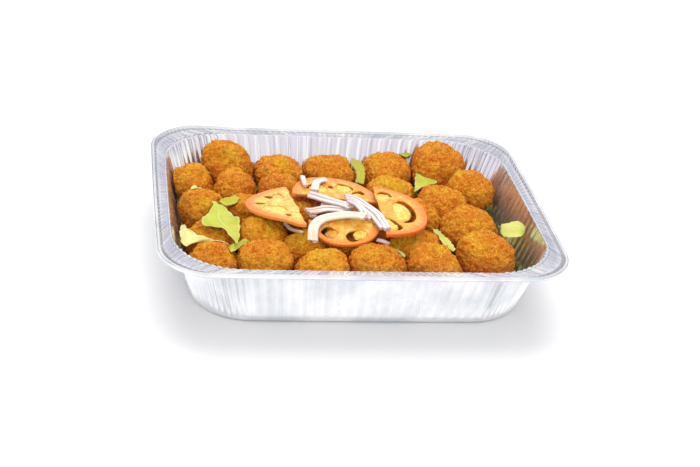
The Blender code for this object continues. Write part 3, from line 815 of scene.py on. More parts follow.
def keep_in_pan(places, spare):
    """Points moved inward where they would stand in the pan's wall, with some room to spare."""
    places = places.copy()
    slope = ramp(places[:, 2], BASE_ROUND, FLANGE_HEIGHT)
    corner = BASE_CORNER + (MOUTH_CORNER - BASE_CORNER) * slope
    tuck = np.maximum(BASE_ROUND - places[:, 2], 0) * 0.6
    side = FOIL_SHOWN + SIDE_BOW + 0.4 * MM
    halves = [
        outer / 2 - FLANGE - narrowing * (1 - slope) - side - tuck - spare
        for outer, narrowing in ((PAN_LENGTH, SLOPE_X), (PAN_WIDTH, SLOPE_Y))
    ]
    for axis, half in enumerate(halves):
        places[:, axis] = np.clip(places[:, axis], -half, half)
    over = [np.abs(places[:, axis]) - (half - corner) for axis, half in enumerate(halves)]
    reach = np.maximum(np.hypot(*over), 1e-9)
    out = (over[0] > 0) & (over[1] > 0) & (reach > corner)
    for axis, half in enumerate(halves):
        pulled = np.copysign(half - corner + over[axis] * corner / reach, places[:, axis])
        places[:, axis] = np.where(out, pulled, places[:, axis])
    return places


# ---------------- the patties

PATTIES = 30
CRUST_MESH = 0.78 * MM
TOP_SPARE = 0.2 * MM

# Where the crust of some patties is yellow-green: x, y and reach in millimetres
UNRIPE = (
    (-34, -80, 15), (-72, -34, 15), (-60, -26, 10), (38, -44, 14), (44, 46, 20), (92, -48, 8),
    (-92, 84, 9), (-118, 4, 8), (-44, -48, 12), (60, -76, 9), (104, 62, 8), (-48, 84, 8),
)
# Where patties that lie low among their neighbours get more painted shade, likewise
PAINTED_SHADE_PATCHES = ((-66, 40, 16), (-20, 47, 12), (52, -20, 14))


def crumb_tree():
    """Swells a patty a little and roughens it into a crumbly crust with pits."""
    tree = Shaper(
        "crumb_crust", Swell=1.3 * MM, Shoulder_height=3.9 * MM, Shoulder_size=20 * MM,
        Lump_height=2.3 * MM, Lump_size=8 * MM, Crumb_height=2.3 * MM, Crumb_size=3.0 * MM,
        Grain_height=1.2 * MM, Grain_size=1.4 * MM, Pit_depth=0.9 * MM, Pit_spacing=6.0 * MM, Seed=1.0,
    )
    seed, height = tree.size("Seed"), tree.size("Swell")
    for layer, detail in (("Shoulder", 0.0), ("Lump", 1.0), ("Crumb", 1.0), ("Grain", 1.0)):
        wave = tree.noise(tree.place, 1.0 / tree.size(f"{layer}_size"), detail, 0.5, seed) - 0.5
        height = height + wave * (tree.size(f"{layer}_height") * 2.0)
    pits = tree.cells(tree.place, 1.0 / tree.size("Pit_spacing"), seed)
    return tree.end(tree.swollen(height - pits.span(0.26, 0.10) * tree.size("Pit_depth")), CRUST)


def patched(places, patches, middle, most):
    """How strongly each point lies in a patch, falling off from a value at the middle."""
    share = np.zeros(len(places))
    for x, y, reach in patches:
        far = np.hypot(places[:, 0] - x * MM, places[:, 1] - y * MM)
        share = np.maximum(share, np.clip(middle - far / (reach * MM), 0, most))
    return share


def build_patties():
    """Every patty from its CAD ball: rounded, meshed finely and given its crust."""
    tree = crumb_tree()
    pieces = []
    for number in range(1, PATTIES + 1):
        node = f"patty_{number:02d}"
        patty = copy_of(node, f"fried_{node}")
        add_step(patty, "rounded", "SUBSURF", levels=2, render_levels=2)
        add_step(patty, "fine", "REMESH", mode="VOXEL", voxel_size=CRUST_MESH)
        patty = settle(tree.work_on(patty, Seed=float(number)))
        places = spots(patty)
        places[:, 2] = np.minimum(places[:, 2], cad_high.z - TOP_SPARE)
        move_spots(patty, keep_in_pan(places, 0.8 * MM))
        low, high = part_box(node)
        middle = ((low + high) / 2).z
        up = (places[:, 2] - middle) / (high.z - middle)
        # The 'low' share is painted shade: it grows towards each patty's bottom and in the listed patches.
        carry(
            patty, unripe=patched(places, UNRIPE, 1.35, 1) * np.clip(up * 2.2 - 0.3, 0, 1),
            low=np.clip(np.maximum((0.55 - up) / 0.9, patched(places, PAINTED_SHADE_PATCHES, 1.5, 0.75)), 0, 1),
        )
        hand_in(patty, "crust", node)
        pieces.append(patty)
    return pieces


# ---------------- tomato

TOMATO_THICK = 5.0 * MM
SLICE_THICK = 3.0 * MM
SLICE_GROWS = 1.3
CUT_BEVEL = 0.5 * MM
SLICE_MESH = 0.45 * MM
RIM_POINTS = 90
CUT_POINTS = 42
CAVITY_POINTS = 36
# Steps along and across the pulp of one chamber
PULP_LONG = 26
PULP_DEEP = 12
# As x, y, z of the whole slice's middle, radius, compass way the round side points, dip of the
# round side, roll, how far past the middle it was cut, how much it narrows; then how yellow and how
# pink it is and how far its first end flares; then the cavities from angle, to angle, inner and
# outer part of the radius; then the pulp, likewise, with its yellowness and how deep it has sunk
SLICES = {
    "left": (
        (-50, -11, 51, 37.5, 184.7, 0, 6, 3, 0.31), (0.95, 1.0, 0.14),
        ((33, 46, 0.57, 0.78), (75, 90, 0.58, 0.80), (159, 168, 0.62, 0.76), (12, 30, 0.38, 0.74),
         (98, 158, 0.30, 0.72)),
        ((10, 33, 0.34, 0.76, 0.6, 0.15), (94, 160, 0.26, 0.76, 1.0, 0.0)),
    ),
    "back": (
        (-11, 6, 49.5, 36.3, 88, 1, 5, 2, 0), (0.4, 0.2, 0.0),
        ((92, 106, 0.44, 0.58), (22, 40, 0.48, 0.80), (46, 84, 0.32, 0.78), (112, 160, 0.30, 0.78)),
        ((45, 86, 0.30, 0.76, 1.0, 0.0), (110, 161, 0.28, 0.75, 1.0, 0.0), (20, 36, 0.44, 0.72, 0.9, 0.1)),
    ),
    "right": (
        (20, -20, 52.5, 40.2, -1, 4, 1, -1, 0), (0.15, 0.25, 0.0),
        ((44, 134, 0.34, 0.79), (5, 33, 0.34, 0.86), (148, 175, 0.36, 0.82)),
        ((42, 136, 0.28, 0.69, 1.0, 0.0), (3, 27, 0.30, 0.84, 1.0, 0.1), (146, 177, 0.34, 0.78, 0.85, 0.1)),
    ),
    "front": (
        (-9.5, -35, 52, 29, -90, 17, 4, 0, 0), (0.65, 0.0, 0.0),
        ((28, 66, 0.52, 0.90), (86, 134, 0.52, 0.91), (8, 20, 0.50, 0.82), (146, 168, 0.50, 0.84)),
        ((40, 70, 0.50, 0.86, 0.35, 0.4), (104, 137, 0.52, 0.89, 0.9, 0.2), (6, 22, 0.46, 0.84, 0.7, 0.0),
         (144, 170, 0.46, 0.86, 0.8, 0.0)),
    ),
}


def slice_place(x, y, z, toward, dip, roll):
    """Where a slice lies: its round side, local +Y, points the given compass way."""
    turn = Matrix.Rotation(math.radians(toward - 90), 4, "Z")
    turn = turn @ Matrix.Rotation(math.radians(-dip), 4, "X") @ Matrix.Rotation(math.radians(roll), 4, "Y")
    return Matrix.Translation((x * MM, y * MM, z * MM)) @ turn


def round_place(far, angle, narrowing):
    """A point of a slice from its distance to the middle and its angle; the round side may narrow."""
    return far * np.cos(angle) * (1 - narrowing * np.maximum(np.sin(angle), 0)), far * np.sin(angle)


def slice_rim(angle, radius, flare):
    """How far the rim of a slice is from its middle: a little lobed, and flaring at one end."""
    lobes = 1 - 0.012 * (1 + np.sin(5 * angle))
    return (radius + SLICE_GROWS) * MM * lobes * (1 + flare * np.exp(-((angle - math.pi) / 0.22) ** 2))


def add_line(curve, places, closed=False):
    """A line of straight steps through x, y and z."""
    spline = curve.splines.new("POLY")
    spline.points.add(len(places) - 1)
    for point, place in zip(spline.points, places):
        point.co = (*place, 1)
    spline.use_cyclic_u = closed


def slice_plate(name, place, flare, cavities):
    """The flesh of a half slice, with its cavities cut through."""
    radius, past, narrowing = place[3], place[7], place[8]
    start = -math.asin(past / radius)
    angles = np.linspace(start, math.pi - start, RIM_POINTS)
    round_side = np.stack(round_place(slice_rim(angles, radius, flare), angles, narrowing), 1)
    along = np.linspace(0, 1, CUT_POINTS)[1:-1]
    uneven = 0.55 * np.sin(11 * along + radius) + 0.45 * np.sin(27 * along + 2 * radius)
    straight_side = round_side[-1] * (1 - along[:, None]) + round_side[0] * along[:, None]
    straight_side[:, 1] += uneven * MM * np.sin(math.pi * along) ** 0.5
    outlines = [np.concatenate([round_side, straight_side])]
    around = np.linspace(0, TURN, CAVITY_POINTS, endpoint=False)
    up, side = (np.sign(wave) * np.abs(wave) ** 0.72 for wave in (np.sin(around), np.cos(around)))
    for low, high, inner, outer in cavities:
        wave = 0.035 * np.sin(3 * around + low) + 0.03 * np.sin(5 * around + high)
        far = (inner + outer) / 2 + (outer - inner) / 2 * up * (1 + wave)
        at = np.radians((low + high) / 2) - np.radians((high - low) / 2) * side * (1 + wave)
        outlines.append(radius * MM * np.stack(round_place(far, at, narrowing), 1))
    curve = bpy.data.curves.new(name, "CURVE")
    curve.dimensions = "2D"
    curve.fill_mode = "BOTH"
    curve.bevel_depth = CUT_BEVEL
    curve.bevel_resolution = 2
    curve.offset = -CUT_BEVEL
    curve.extrude = SLICE_THICK / 2 - CUT_BEVEL
    for outline in outlines:
        add_line(curve, [(x, y, 0) for x, y in outline], closed=True)
    return shown(name, curve)


def flesh_tree():
    """Lets the cut face swell and sink a little."""
    tree = Shaper("wet_flesh", Swell=0.35 * MM, Size=6 * MM)
    wave = tree.noise(tree.place, 1.0 / tree.size("Size"), 2.0) - 0.5
    return tree.end(tree.swollen(wave * (tree.size("Swell") * 2.0)), TOMATO)


def pulp_body(name, place, chambers):
    """Lumpy jelly that fills the given chambers, level with the cut face or sunk below it."""
    radius, narrowing = place[3], place[8]
    grid = np.arange((PULP_DEEP + 1) * (PULP_LONG + 1)).reshape(PULP_DEEP + 1, PULP_LONG + 1)
    edge = np.concatenate([grid[0, :-1], grid[:-1, -1], grid[-1, :0:-1], grid[:0:-1, 0]]).tolist()
    vertices, faces, tones = [], [], []
    for low, high, inner, outer, tone, sunk in chambers:
        for side in (1, -1):
            faces += grid_faces(PULP_DEEP, PULP_LONG, len(vertices))
            for row, column in np.ndindex(grid.shape):
                v, u = row / PULP_DEEP, column / PULP_LONG
                at = math.radians(low + (high - low) * u)
                pinch = 0.22 * (1 - math.sin(math.pi * u)) * (outer - inner)
                far = inner + pinch + (outer - inner - 2 * pinch) * v
                inside = 0 < u < 1 and 0 < v < 1
                dome = (math.sin(math.pi * u) * math.sin(math.pi * v)) ** 0.4 if inside else 0
                lump = 0.16 * math.sin(9 * u + low) * math.sin(7 * v + high)
                height = side * (0.10 + 0.86 * dome * (1 + lump)) - (sunk if side > 0 else 0)
                x, y = round_place(radius * MM * far, at, narrowing)
                vertices.append((x, y, height * SLICE_THICK / 2))
                # Painted shade: the tone falls towards the chamber edges, where the pulp's dome lies low.
                tones.append(tone * min(1, 0.25 + 0.95 * dome))
        top, bottom = len(vertices) - 2 * grid.size, len(vertices) - grid.size
        for here, there in zip(edge, edge[1:] + edge[:1]):
            faces.append((top + here, bottom + here, bottom + there, top + there))
    body = new_piece(name, vertices, faces)
    rework(body.data, lambda work: bmesh.ops.recalc_face_normals(work, faces=work.faces))
    carry(body, tone=tones)
    body.data.materials.append(PULP)
    return body


def seed_tree():
    """Lays flat seeds on the upper side of the pulp."""
    tree = Shaper("scatter_seeds", Seed_length=2.7 * MM, Seeds_a_square_metre=40000.0, Seed=5)
    points, upright = tree.strewn("Seeds_a_square_metre", 2.2 * MM, 0.75)
    seed = tree.get("GeometryNodeMeshIcoSphere", {"Radius": 0.5, "Subdivisions": 2}, "Mesh")
    seed = tree.get("GeometryNodeTransform", {"Geometry": seed, "Scale": (1.0, 0.62, 0.34)})
    tilt = tree.chance("FLOAT_VECTOR", (0, 0, 0), (0.3, 0.3, TURN), tree.size("Seed"))
    turned = tree.get("FunctionNodeRotateRotation", {0: upright, 1: tilt}, rotation_space="LOCAL")
    return tree.end(tree.get("GeometryNodeInstanceOnPoints", {
        "Points": points, "Instance": seed, "Rotation": turned, "Scale": tree.size("Seed_length"),
    }), SEED)


def build_tomatoes():
    """Each half slice: flesh, pulp and seeds."""
    flesh, scatter = flesh_tree(), seed_tree()
    for number, (name, (place, looks, cavities, chambers)) in enumerate(SLICES.items()):
        x, y, z, radius, toward, dip, roll, _, narrowing = place
        yellowness, pinkness, flare = looks
        plate = settle(slice_plate(f"slice_{name}", place, flare, cavities))
        add_step(plate, "fine", "REMESH", mode="VOXEL", voxel_size=SLICE_MESH)
        plate = settle(flesh.work_on(plate))
        along, out, up = spots(plate).T
        outward = np.clip(out / (radius * MM), 0, 1)
        angle = np.arctan2(out, along / (1 - narrowing * outward))
        angle = np.where(angle < -math.pi / 2, angle + TURN, angle)
        rim = np.hypot(*round_place(slice_rim(angle, radius, flare), angle, narrowing))
        inward = rim - np.hypot(along, out)
        # Painted shade mask: the cavity walls below the cut face, away from the rim.
        depth = ramp(up, SLICE_THICK / 2 - CUT_BEVEL, SLICE_THICK / 2 - CUT_BEVEL - 1.0 * MM)
        carry(
            plate, inward=np.maximum(inward, 0), turn=angle, hollow=depth * (inward > 3 * MM),
            yellowness=yellowness, blush=pinkness * outward ** 2,
        )
        raised = Matrix.Translation((0, 0, (TOMATO_THICK - SLICE_THICK) / 2))
        lay = Matrix.Translation((0, -0.8 * MM, 0)) @ slice_place(x, y, z, toward, dip, roll) @ raised
        pulp = pulp_body(f"pulp_{name}", place, chambers)
        seeds = settle(scatter.work_on(pulp_body(f"seeds_{name}", place, chambers), Seed=number + 3))
        for piece in (plate, pulp, seeds):
            piece.data.transform(lay)
            piece.data.update()
        pulp.data.shade_smooth()
        hand_in(plate, "tomato", f"tomato_{name}")
        hand_in(pulp, "tomato")
        hand_in(seeds, "tomato")


# ---------------- onion

ROUTE_STEPS = 60
STRAND_SEED = 21
# As width, height, blush at the start and at the end, purple edge, glassiness, lilac cast, layers
# side by side, and the route; lengths are in millimetres
STRIPS = {
    "thin_left": (3.0, 2.2, 0.3, 0.1, 0.2, 0.0, 0.0, 1, ((-57, -29), (-52, -38), (-44, -45))),
    "pink_tip": (4.5, 2.2, 0.9, 0.7, 0.4, 0.0, 0.5, 1, ((14, -57), (18.5, -59), (23, -62))),
    "white_arc_back": (
        6.0, 2.2, 0.0, 0.0, 0.0, 0.3, 0.3, 1, ((-28.5, 9), (-27, 18), (-23.5, 27), (-16, 32)),
    ),
    "pink_end_back": (4.2, 2.4, 0.7, 0.5, 0.7, 0.0, 0.5, 1, ((-36, 37), (-36.3, 26), (-36, 16))),
    "grey_low": (15.0, 2.2, 0.0, 0.1, 0.2, 0.4, 0.8, 5, ((-27, -9), (-19, -11), (-12, -17), (-5, -24))),
    "white_down": (5.0, 2.2, 0.1, 0.0, 0.1, 0.3, 0.2, 1, ((-32, -22), (-34, -27), (-36, -34))),
    "pink_left": (
        9.0, 2.2, 0.6, 0.0, 0.3, 0.3, 0.6, 3, ((-42, -32), (-34, -28), (-24, -22), (-14, -23), (-4, -28)),
    ),
    "white_across": (
        9.5, 2.4, 0.35, 0.1, 0.4, 0.1, 0.75, 2, ((-37, 2), (-28, -2), (-18, -9), (-9, -17), (-2, -26)),
    ),
    "inner_loop": (
        8.5, 2.4, 0.25, 0.1, 0.4, 0.2, 0.85, 3, ((-6, -19), (0, -24), (5, -30), (7, -36), (5, -41)),
    ),
    "outer_loop": (
        10.0, 2.6, 0.25, 0.1, 0.6, 0.1, 0.8, 3,
        ((-7, -9), (1, -10), (8, -19), (14, -31), (17, -43), (19, -51), (20, -57)),
    ),
    "big_arc": (
        9.0, 3.0, 0.0, 0.0, 0.1, 0.0, 0.0, 2,
        ((-38, -59), (-37, -51), (-34, -45), (-28, -40), (-19, -37.5), (-9, -38), (0, -42), (6, -46)),
    ),
}


def smooth_route(points, count):
    """Evenly spaced points on a smooth curve through the given ones."""
    ends = np.array([points[0], *points, points[-1]], float)
    t = np.linspace(0, 1, 12, endpoint=False)[:, None]
    dense = np.concatenate([0.5 * (
        2 * start + (end - before) * t + (2 * before - 5 * start + 4 * end - after) * t ** 2
        + (3 * start - before - 3 * end + after) * t ** 3
    ) for before, start, end, after in zip(ends, ends[1:], ends[2:], ends[3:])] + [ends[-1:]])
    run = np.concatenate([[0], np.cumsum(np.linalg.norm(np.diff(dense, axis=0), axis=1))])
    at = np.linspace(0, run[-1], count)
    return np.stack([np.interp(at, run, column) for column in dense.T], axis=1)


def strip_tree():
    """Sweeps a crescent of onion flesh along a route, thinner at its ends."""
    tree = Shaper("onion_strip", Width=6 * MM, Height=2.6 * MM, Hollow=0.35, End_length=3 * MM)
    along = tree.get("GeometryNodeSplineParameter", output="Length")
    near_end = along.math("MINIMUM", tree.get("GeometryNodeSplineLength", output="Length") - along)
    share = ((near_end + 0.25 * MM) / tree.size("End_length")).math("MINIMUM", 1.0)
    taper = (1.0 - (1.0 - share) ** 2.0) ** 0.5
    route = tree.keep(tree.shape, along=along)
    route = tree.get("GeometryNodeSetCurveRadius", {"Curve": route, "Radius": taper})
    route = tree.get("GeometryNodeSetCurveNormal", {"Curve": route}, mode="Z_UP")
    ring = tree.get("GeometryNodeCurvePrimitiveCircle", {"Resolution": 64, "Radius": 1.0}, "Curve")
    x, y, _ = tree.split(tree.place)
    squarer = x.math("SIGN") * abs(x) ** 0.75
    arch = (0.5 - x * x) * tree.size("Hollow")
    groove = (0.5 - abs(squarer) * 0.49).span(0.14, 0.0) * abs(squarer).math("LESS_THAN", 0.93)
    # The groove is kept for the onion finish, which paints shade into it.
    ring = tree.keep(ring, across=x, groove=groove)
    tall = (y * (1.0 - groove * 0.75) + arch) * (tree.size("Height") * 0.5)
    ring = tree.placed(ring, squarer * (tree.size("Width") * 0.5), tall)
    swept = tree.get("GeometryNodeCurveToMesh", {"Curve": route, "Profile Curve": ring, "Fill Caps": True})
    return tree.end(swept, ONION)


def strand_routes(points, width, strands, chance):
    """The routes of the thin layers that a strip splits into, side by side and a little astray."""
    middle = smooth_route(points, ROUTE_STEPS)
    ahead = np.gradient(middle, axis=0)
    ahead /= np.linalg.norm(ahead, axis=1)[:, None]
    aside = np.stack([-ahead[:, 1], ahead[:, 0]], 1)
    run = np.linspace(0, 1, ROUTE_STEPS)
    routes = []
    for number in range(strands):
        away = (number - (strands - 1) / 2) * width / strands
        if strands > 1:
            away = away + 0.45 * np.sin(TURN * (run * chance.uniform(0.5, 1.2) + chance.uniform()))
        route = middle + aside * np.reshape(away, (-1, 1))
        first, last = chance.integers(0, 5 if strands > 1 else 1, 2)
        routes.append(route[first:ROUTE_STEPS - last])
    return routes


def build_onions():
    """Every strip, as thin layers laid where its CAD solid lies."""
    tree = strip_tree()
    chance = np.random.default_rng(STRAND_SEED)
    for name, (width, height, start, end, edged, glassy, lilac, layers, points) in STRIPS.items():
        node = f"onion_{name}"
        solid = copy_of(node, "solid_for_height")
        search = tree_of(solid)
        bpy.data.objects.remove(solid)
        middle = smooth_route(points, ROUTE_STEPS) * MM
        tops = np.array([top_at(search, x, y) for x, y in middle], float)
        known = np.nonzero(~np.isnan(tops))[0]
        tops = np.interp(np.arange(ROUTE_STEPS), known, tops[known])
        curve = bpy.data.curves.new(node, "CURVE")
        curve.dimensions = "3D"
        for route in strand_routes(points, width, layers, chance):
            sink = chance.uniform(0, 0.9) * MM if layers > 1 else 0
            nearest = [np.argmin(np.hypot(*(middle - spot).T)) for spot in route * MM]
            add_line(curve, np.column_stack([route * MM, tops[nearest] - height / 2 * MM - sink]))
        strip = shown(f"{node}_strip", curve)
        strip = settle(tree.work_on(strip, Width=width / layers * 1.12 * MM, Height=height * MM))
        along = np.zeros(len(strip.data.vertices), np.float32)
        strip.data.attributes["along"].data.foreach_get("value", along)
        share = along / max(along.max(), 1e-6)
        blush = np.clip(start * (1 - share * 2.2), 0, 1) + np.clip(end * (share * 2.2 - 1.2), 0, 1)
        carry(strip, blush=blush, edged=edged, glassy=glassy, lilac=lilac)
        hand_in(strip, "onion", node)


# ---------------- lettuce

# Steps along and across a leaf that shows between the patties
LEAF_LONG = 44
LEAF_WIDE = 28
LEAF_THICK = 0.5 * MM
TORN_THICK = 0.45 * MM
LEAF_SEED = 8
# The lowest level that the leaves lie on, and how far the core lies below the CAD bed
GROUND = 14 * MM
# Half sizes of the map of heights in millimetres
MAP_HALF = (150, 122)
CORE_SUNK = 3.5 * MM
# As the heights of the two edges, how pale it is or, below 0, how vivid, and those edges from the
# root to the tip, x and y
LEAVES = {
    "big": (
        (46, 46), 0.0,
        ((-113, 3), (-114, -8), (-120, -22), (-124, -30), (-122, -39), (-117, -40), (-111, -42), (-106, -48),
         (-102, -57), (-99, -67)),
        ((-111, 3), (-107, -4), (-101, -12), (-97, -23), (-94, -29), (-94, -38), (-95, -47), (-96, -57),
         (-98, -67)),
    ),
    "cap_left": (
        (44, 44), -0.45,
        ((-107, 7), (-103, -2), (-97, 0), (-92, 8)), ((-106, 10), (-101, 12), (-95, 15), (-90, 13)),
    ),
    "rib_left": (
        (39, 42), 0.8,
        ((-139, -26), (-141, -35), (-141, -46), (-140, -57), (-137, -62), (-133, -55), (-128, -52),
         (-122, -54), (-116, -58), (-111, -63), (-106, -65)),
        ((-137, -30), (-135, -37), (-131, -43), (-127, -49), (-124, -51), (-120, -54), (-115, -57),
         (-111, -60), (-106, -62), (-102, -63)),
    ),
    "tip_left": (
        (42, 42), -0.3,
        ((-105, -70), (-103, -74), (-98, -69), (-94, -63), (-89, -58)),
        ((-103, -65), (-99, -60), (-95, -56), (-91, -53), (-88, -55)),
    ),
    "tip_second_row": (
        (46, 46), 0.5, ((-130, 21), (-129, 27), (-127, 31)), ((-121, 21), (-124, 27), (-125, 31)),
    ),
    "back_strip": (
        (40, 40), -0.8,
        ((14, 56), (17, 67), (18, 79), (16, 91), (17, 103)),
        ((21, 54), (24, 66), (26, 78), (26, 90), (25, 101)),
    ),
    "back_corner": ((41, 41), -0.2, ((62, 110), (65, 101), (71, 109)), ((64, 115), (69, 115), (75, 113))),
    "fold_right": (
        (40, 41), -0.15,
        ((63, 39), (66, 51), (68, 62), (72, 76)),
        ((64, 39), (72, 47), (80, 53), (87, 58), (82, 63), (77, 69), (73, 74)),
    ),
    "wall_right": (
        (41, 46), 0.35,
        ((122.4, -32.6), (122.6, -36.5), (125, -41), (129.5, -44), (134.5, -42.5), (139, -38), (143, -32.5)),
        ((122.4, -31.2), (123.6, -27.5), (127, -24.4), (132, -22.6), (137, -22.8), (141, -26), (143.3, -31)),
    ),
    "strip_right": (
        (38, 39), 0.25,
        ((67, -23), (68, -34), (70, -44), (73, -53), (77, -60)),
        ((71, -25), (73, -33), (76, -42), (78, -50), (79, -58)),
    ),
    "chip_front": (
        (38, 38), 0.4,
        ((23, -53), (26, -58), (30, -66), (34, -71)), ((26, -53), (30, -58), (34, -61), (36, -69)),
    ),
    "chip_back": ((38, 38), 0.1, ((-33, 63), (-33, 55), (-29, 49)), ((-28, 64), (-25, 56), (-26, 50))),
}


def neighbours(heights):
    """The sum of the four places beside every place of a map."""
    wide = np.pad(heights, 1, mode="edge")
    return wide[:-2, 1:-1] + wide[2:, 1:-1] + wide[1:-1, :-2] + wide[1:-1, 2:]


def height_map(pieces):
    """How high the food stands at every millimetre of the pan, evened out."""
    xs, ys = (np.arange(-half, half + 1) * MM for half in MAP_HALF)
    tops = np.full((len(xs), len(ys)), GROUND)
    for piece in pieces:
        corners = np.array([tuple(corner) for corner in piece.bound_box])
        low, high = corners.min(axis=0), corners.max(axis=0)
        search = tree_of(piece)
        for i in np.nonzero((xs > low[0]) & (xs < high[0]))[0]:
            for j in np.nonzero((ys > low[1]) & (ys < high[1]))[0]:
                tops[i, j] = max(tops[i, j], top_at(search, xs[i], ys[j]) or 0)
    for _ in range(3):
        tops = (neighbours(tops) + 2 * tops) / 6
    return xs, ys, tops


def leaf_sheet(name, levels, pale, one_edge, other_edge, ground, chance):
    """A torn piece of leaf between two edges, lying softly over what is below it."""
    one = smooth_route(one_edge, LEAF_LONG + 1) * MM
    other = smooth_route(other_edge, LEAF_LONG + 1) * MM
    xs, ys, tops = ground
    length = np.linalg.norm(np.diff((one + other) / 2, axis=0), axis=1).sum()
    wide = np.linalg.norm(other - one, axis=1)
    phase = chance.uniform(0, TURN, 4)
    u, v = np.meshgrid(np.linspace(0, 1, LEAF_LONG + 1), np.linspace(0, 1, LEAF_WIDE + 1), indexing="ij")
    ragged = 0.35 * MM * (np.sin(37 * u + phase[0]) + 0.7 * np.sin(71 * u + phase[1]))
    across = (other - one) / np.maximum(wide, 1e-9)[:, None]
    flat = one[:, None] * (1 - v[..., None]) + other[:, None] * v[..., None]
    flat = flat + across[:, None] * (ragged * (2 * v - 1) ** 3)[..., None]
    i, j = (
        np.clip(np.round((flat[..., axis] - line[0]) / MM).astype(int), 0, len(line) - 1)
        for axis, line in enumerate((xs, ys))
    )
    least = np.maximum(tops[i, j] + 0.4 * MM, (levels[0] * (1 - v) + levels[1] * v) * MM)
    height = least
    for _ in range(6):
        height = np.maximum(neighbours(height) / 4, least)
    side = np.abs(2 * v - 1)
    depth = np.minimum(wide / (14 * MM), 1.0)[:, None]
    ruffle = np.sin(length * u / (3.6 * MM) + phase[2] + 2.5 * np.sign(v - 0.5)) * side ** 2
    ruffle += 0.6 * np.sin(length * u / (1.9 * MM) + phase[3] + 4 * v) * side ** 3
    billow = np.sin(length * u / (7 * MM) + 3 * v + phase[0]) * np.sin(5 * v + phase[1])
    height = height + 0.5 * MM + depth * MM * (0.8 * ruffle + 0.9 * billow + 0.5 * side ** 2)
    vertices = keep_in_pan(np.concatenate([flat, height[..., None]], axis=2).reshape(-1, 3), 0.4 * MM)
    faces = grid_faces(LEAF_LONG, LEAF_WIDE)
    sheet = new_piece(name, vertices, faces)
    if sheet.data.polygons[len(faces) // 2].normal.z < 0:
        sheet.data.flip_normals()
    carry(
        sheet, across=(2 * v - 1).ravel(), along=(length * u).ravel(),
        pale=max(pale, 0), vivid=max(-pale, 0),
    )
    sheet.data.materials.append(LEAF)
    add_step(sheet, "leaf", "SOLIDIFY", thickness=LEAF_THICK, offset=0)
    return settle(sheet)


def torn_tree():
    """Strews torn ruffled leaves over the core of the bed."""
    tree = Shaper(
        "torn_leaves", Leaf_length=34 * MM, Leaf_width=26 * MM, Ruffle=2.6 * MM,
        Leaves_a_square_metre=5200.0, Seed=7,
    )
    joined = tree.node("GeometryNodeJoinGeometry")
    grid = {"Size X": 1.0, "Size Y": 1.0, "Vertices X": 19, "Vertices Y": 13}
    x, y, _ = tree.split(tree.place)
    along, edge = x * tree.size("Leaf_length"), abs(y) * 2.0
    width = (1.0 - abs(x * 2.0) ** 2.6).math("MAXIMUM", 0.02) ** 0.5
    for seed in (1.0, 2.0, 3.0):
        sheet = tree.keep(tree.get("GeometryNodeMeshGrid", grid, "Mesh"), across=y * 2.0, along=along)
        torn = tree.noise(tree.place, 5.0, 2.0, seed=seed).span(0.3, 0.7, 0.7, 1.15)
        wave = (tree.noise(tree.place, 3.4, 2.0, seed=seed + 7) - 0.5) * (edge * 1.6 + 0.6)
        aside = y * tree.size("Leaf_width") * (width * torn)
        sheet = tree.placed(sheet, along, aside, (wave * 2.2 + edge * edge * 0.9) * tree.size("Ruffle"))
        kind = tree.get("GeometryNodeGeometryToInstance", {"Geometry": sheet})
        tree.tree.links.new(kind.socket, joined.inputs[0])
    points, _ = tree.strewn("Leaves_a_square_metre", 8 * MM, 0.2)
    return tree.end(tree.get("GeometryNodeInstanceOnPoints", {
        "Points": points, "Instance": Value(tree, joined.outputs[0]), "Pick Instance": True,
        "Instance Index": tree.chance("INT", 0, 2, 12), "Scale": tree.chance("FLOAT", 0.75, 1.25, 11),
        "Rotation": tree.chance("FLOAT_VECTOR", (-0.35, -0.35, 0), (0.35, 0.35, TURN), tree.size("Seed")),
    }), LEAF)


def build_lettuce(patties):
    """The bed as torn leaves over a smaller core, and the pieces that show between the patties."""
    core = copy_of("lettuce_bed", "lettuce_core")
    low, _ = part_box("lettuce_bed")
    places = spots(core)
    lowered = np.maximum(places[:, 2] - CORE_SUNK, low.z + 0.8 * MM)
    places[:, 2] = np.where(places[:, 2] > low.z + 1 * MM, lowered, places[:, 2])
    move_spots(core, keep_in_pan(places, 1.0 * MM))
    leaves = shown("torn_lettuce", core.data.copy())
    add_step(core, "rounded", "SUBSURF", levels=2, render_levels=2)
    core.data.materials.append(LEAF)
    hand_in(settle(core), "lettuce", "lettuce_bed")
    leaves = settle(torn_tree().work_on(leaves))
    places = spots(leaves)
    near_side = ramp(np.abs(places[:, 0]), 95 * MM, 120 * MM)
    places[:, 2] = np.clip(places[:, 2], 2 * MM, (27 - 11 * near_side) * MM)
    move_spots(leaves, keep_in_pan(places, 1.5 * MM))
    add_step(leaves, "leaf", "SOLIDIFY", thickness=TORN_THICK, offset=0)
    hand_in(settle(leaves), "lettuce")
    ground = height_map(patties)
    chance = np.random.default_rng(LEAF_SEED)
    for name, shape in LEAVES.items():
        hand_in(leaf_sheet(f"lettuce_{name}", *shape, ground, chance), "lettuce", f"leaf_{name}")


# ---------------- light, floor and camera

FLOOR_REACH = 3
SKY_STRENGTH = 1.08
# As where the light comes from, its strength, and how wide it is in degrees
LAMPS = {
    "soft_daylight": ((0.05, 0.65, 1.0), 1.60, 50),
    "soft_fill": ((-0.15, -1.0, 0.8), 0.50, 70),
}
CAMERA_PLACE = (-0.20824, -1.03886, 0.58817)
# How far the camera looks down, turns to the right and is tipped, in degrees
CAMERA_TURNS = (28.1667, 11.5011, 6.5261)
# Focal length and sensor width in millimetres
LENS = 73.88
SENSOR = 36.0


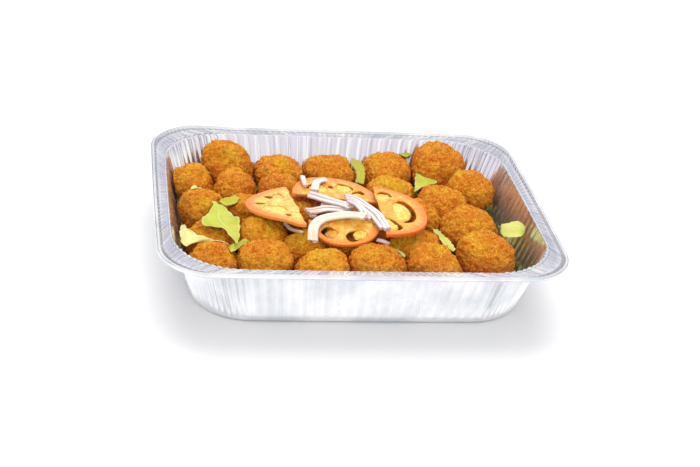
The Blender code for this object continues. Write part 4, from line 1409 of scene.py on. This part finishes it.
def build_studio():
    """A pale floor, a bright room with soft panels all round, and two broad lamps."""
    corners = [(x * FLOOR_REACH, y * FLOOR_REACH, 0) for x, y in ((-1, -1), (1, -1), (1, 1), (-1, 1))]
    floor = new_piece("floor", corners, [(0, 1, 2, 3)])
    pale = Finish("pale_floor", Roughness=0.9, Specular_IOR_Level=0.1)
    cloud = pale.noise(pale.at, 2)
    pale.give(Base_Color=pale.blend(cloud, (0.88, 0.88, 0.885), (0.90, 0.90, 0.905)))
    floor.data.materials.append(pale.material)
    world = bpy.data.worlds.new("studio")
    world.use_nodes = True
    sky = Sketch(world.node_tree)
    way = sky.get("ShaderNodeTexCoord", output="Generated")
    panels = sky.noise(sky.vector("MULTIPLY", way, (2.6, 2.6, 0.9)), 1.0, 1.0, seed=4.0)
    _, back, up = sky.split(way)
    behind, low = back.span(-0.3, 0.7), abs(up - 0.06).span(0.22, 0.04)
    light = panels.span(0.38, 0.62, 0.60, 1.10) - behind * 0.12 - low * behind * 0.40
    colour = sky.blend(light.span(0.15, 0.95), (0.30, 0.295, 0.34), (1.0, 1.0, 1.0))
    glow = world.node_tree.nodes["Background"]
    sky.tree.links.new(colour.socket, glow.inputs["Color"])
    glow.inputs["Strength"].default_value = SKY_STRENGTH
    bpy.context.scene.world = world
    for name, (coming_from, strength, width) in LAMPS.items():
        lamp = bpy.data.lights.new(name, "SUN")
        lamp.energy = strength
        lamp.angle = math.radians(width)
        sun = shown(name, lamp)
        sun.visible_glossy = False
        sun.location = coming_from
        sun.rotation_euler = Vector(coming_from).to_track_quat("Z", "Y").to_euler()
    view = bpy.context.scene.view_settings
    view.view_transform = "Standard"
    view.look = "None"
    view.exposure = 0.0
    view.gamma = 1.0


def place_camera():
    """Stands before the left half of the pan and looks down on it, tipped a little to the side."""
    pitch, yaw, roll = (math.radians(turn) for turn in CAMERA_TURNS)
    ahead = Vector((math.sin(yaw) * math.cos(pitch), math.cos(yaw) * math.cos(pitch), -math.sin(pitch)))
    right = Vector((math.cos(yaw), -math.sin(yaw), 0))
    up = right.cross(ahead)
    side = right * math.cos(roll) + up * math.sin(roll)
    top = up * math.cos(roll) - right * math.sin(roll)
    lens = bpy.data.cameras.new("camera")
    lens.lens = LENS
    lens.sensor_width = SENSOR
    camera = shown("camera", lens)
    turn = Matrix((side, top, -ahead)).transposed().to_4x4()
    camera.matrix_world = Matrix.Translation(CAMERA_PLACE) @ turn
    bpy.context.scene.camera = camera


build_studio()
place_camera()
build_pan()
build_lettuce(build_patties())
build_tomatoes()
build_onions()
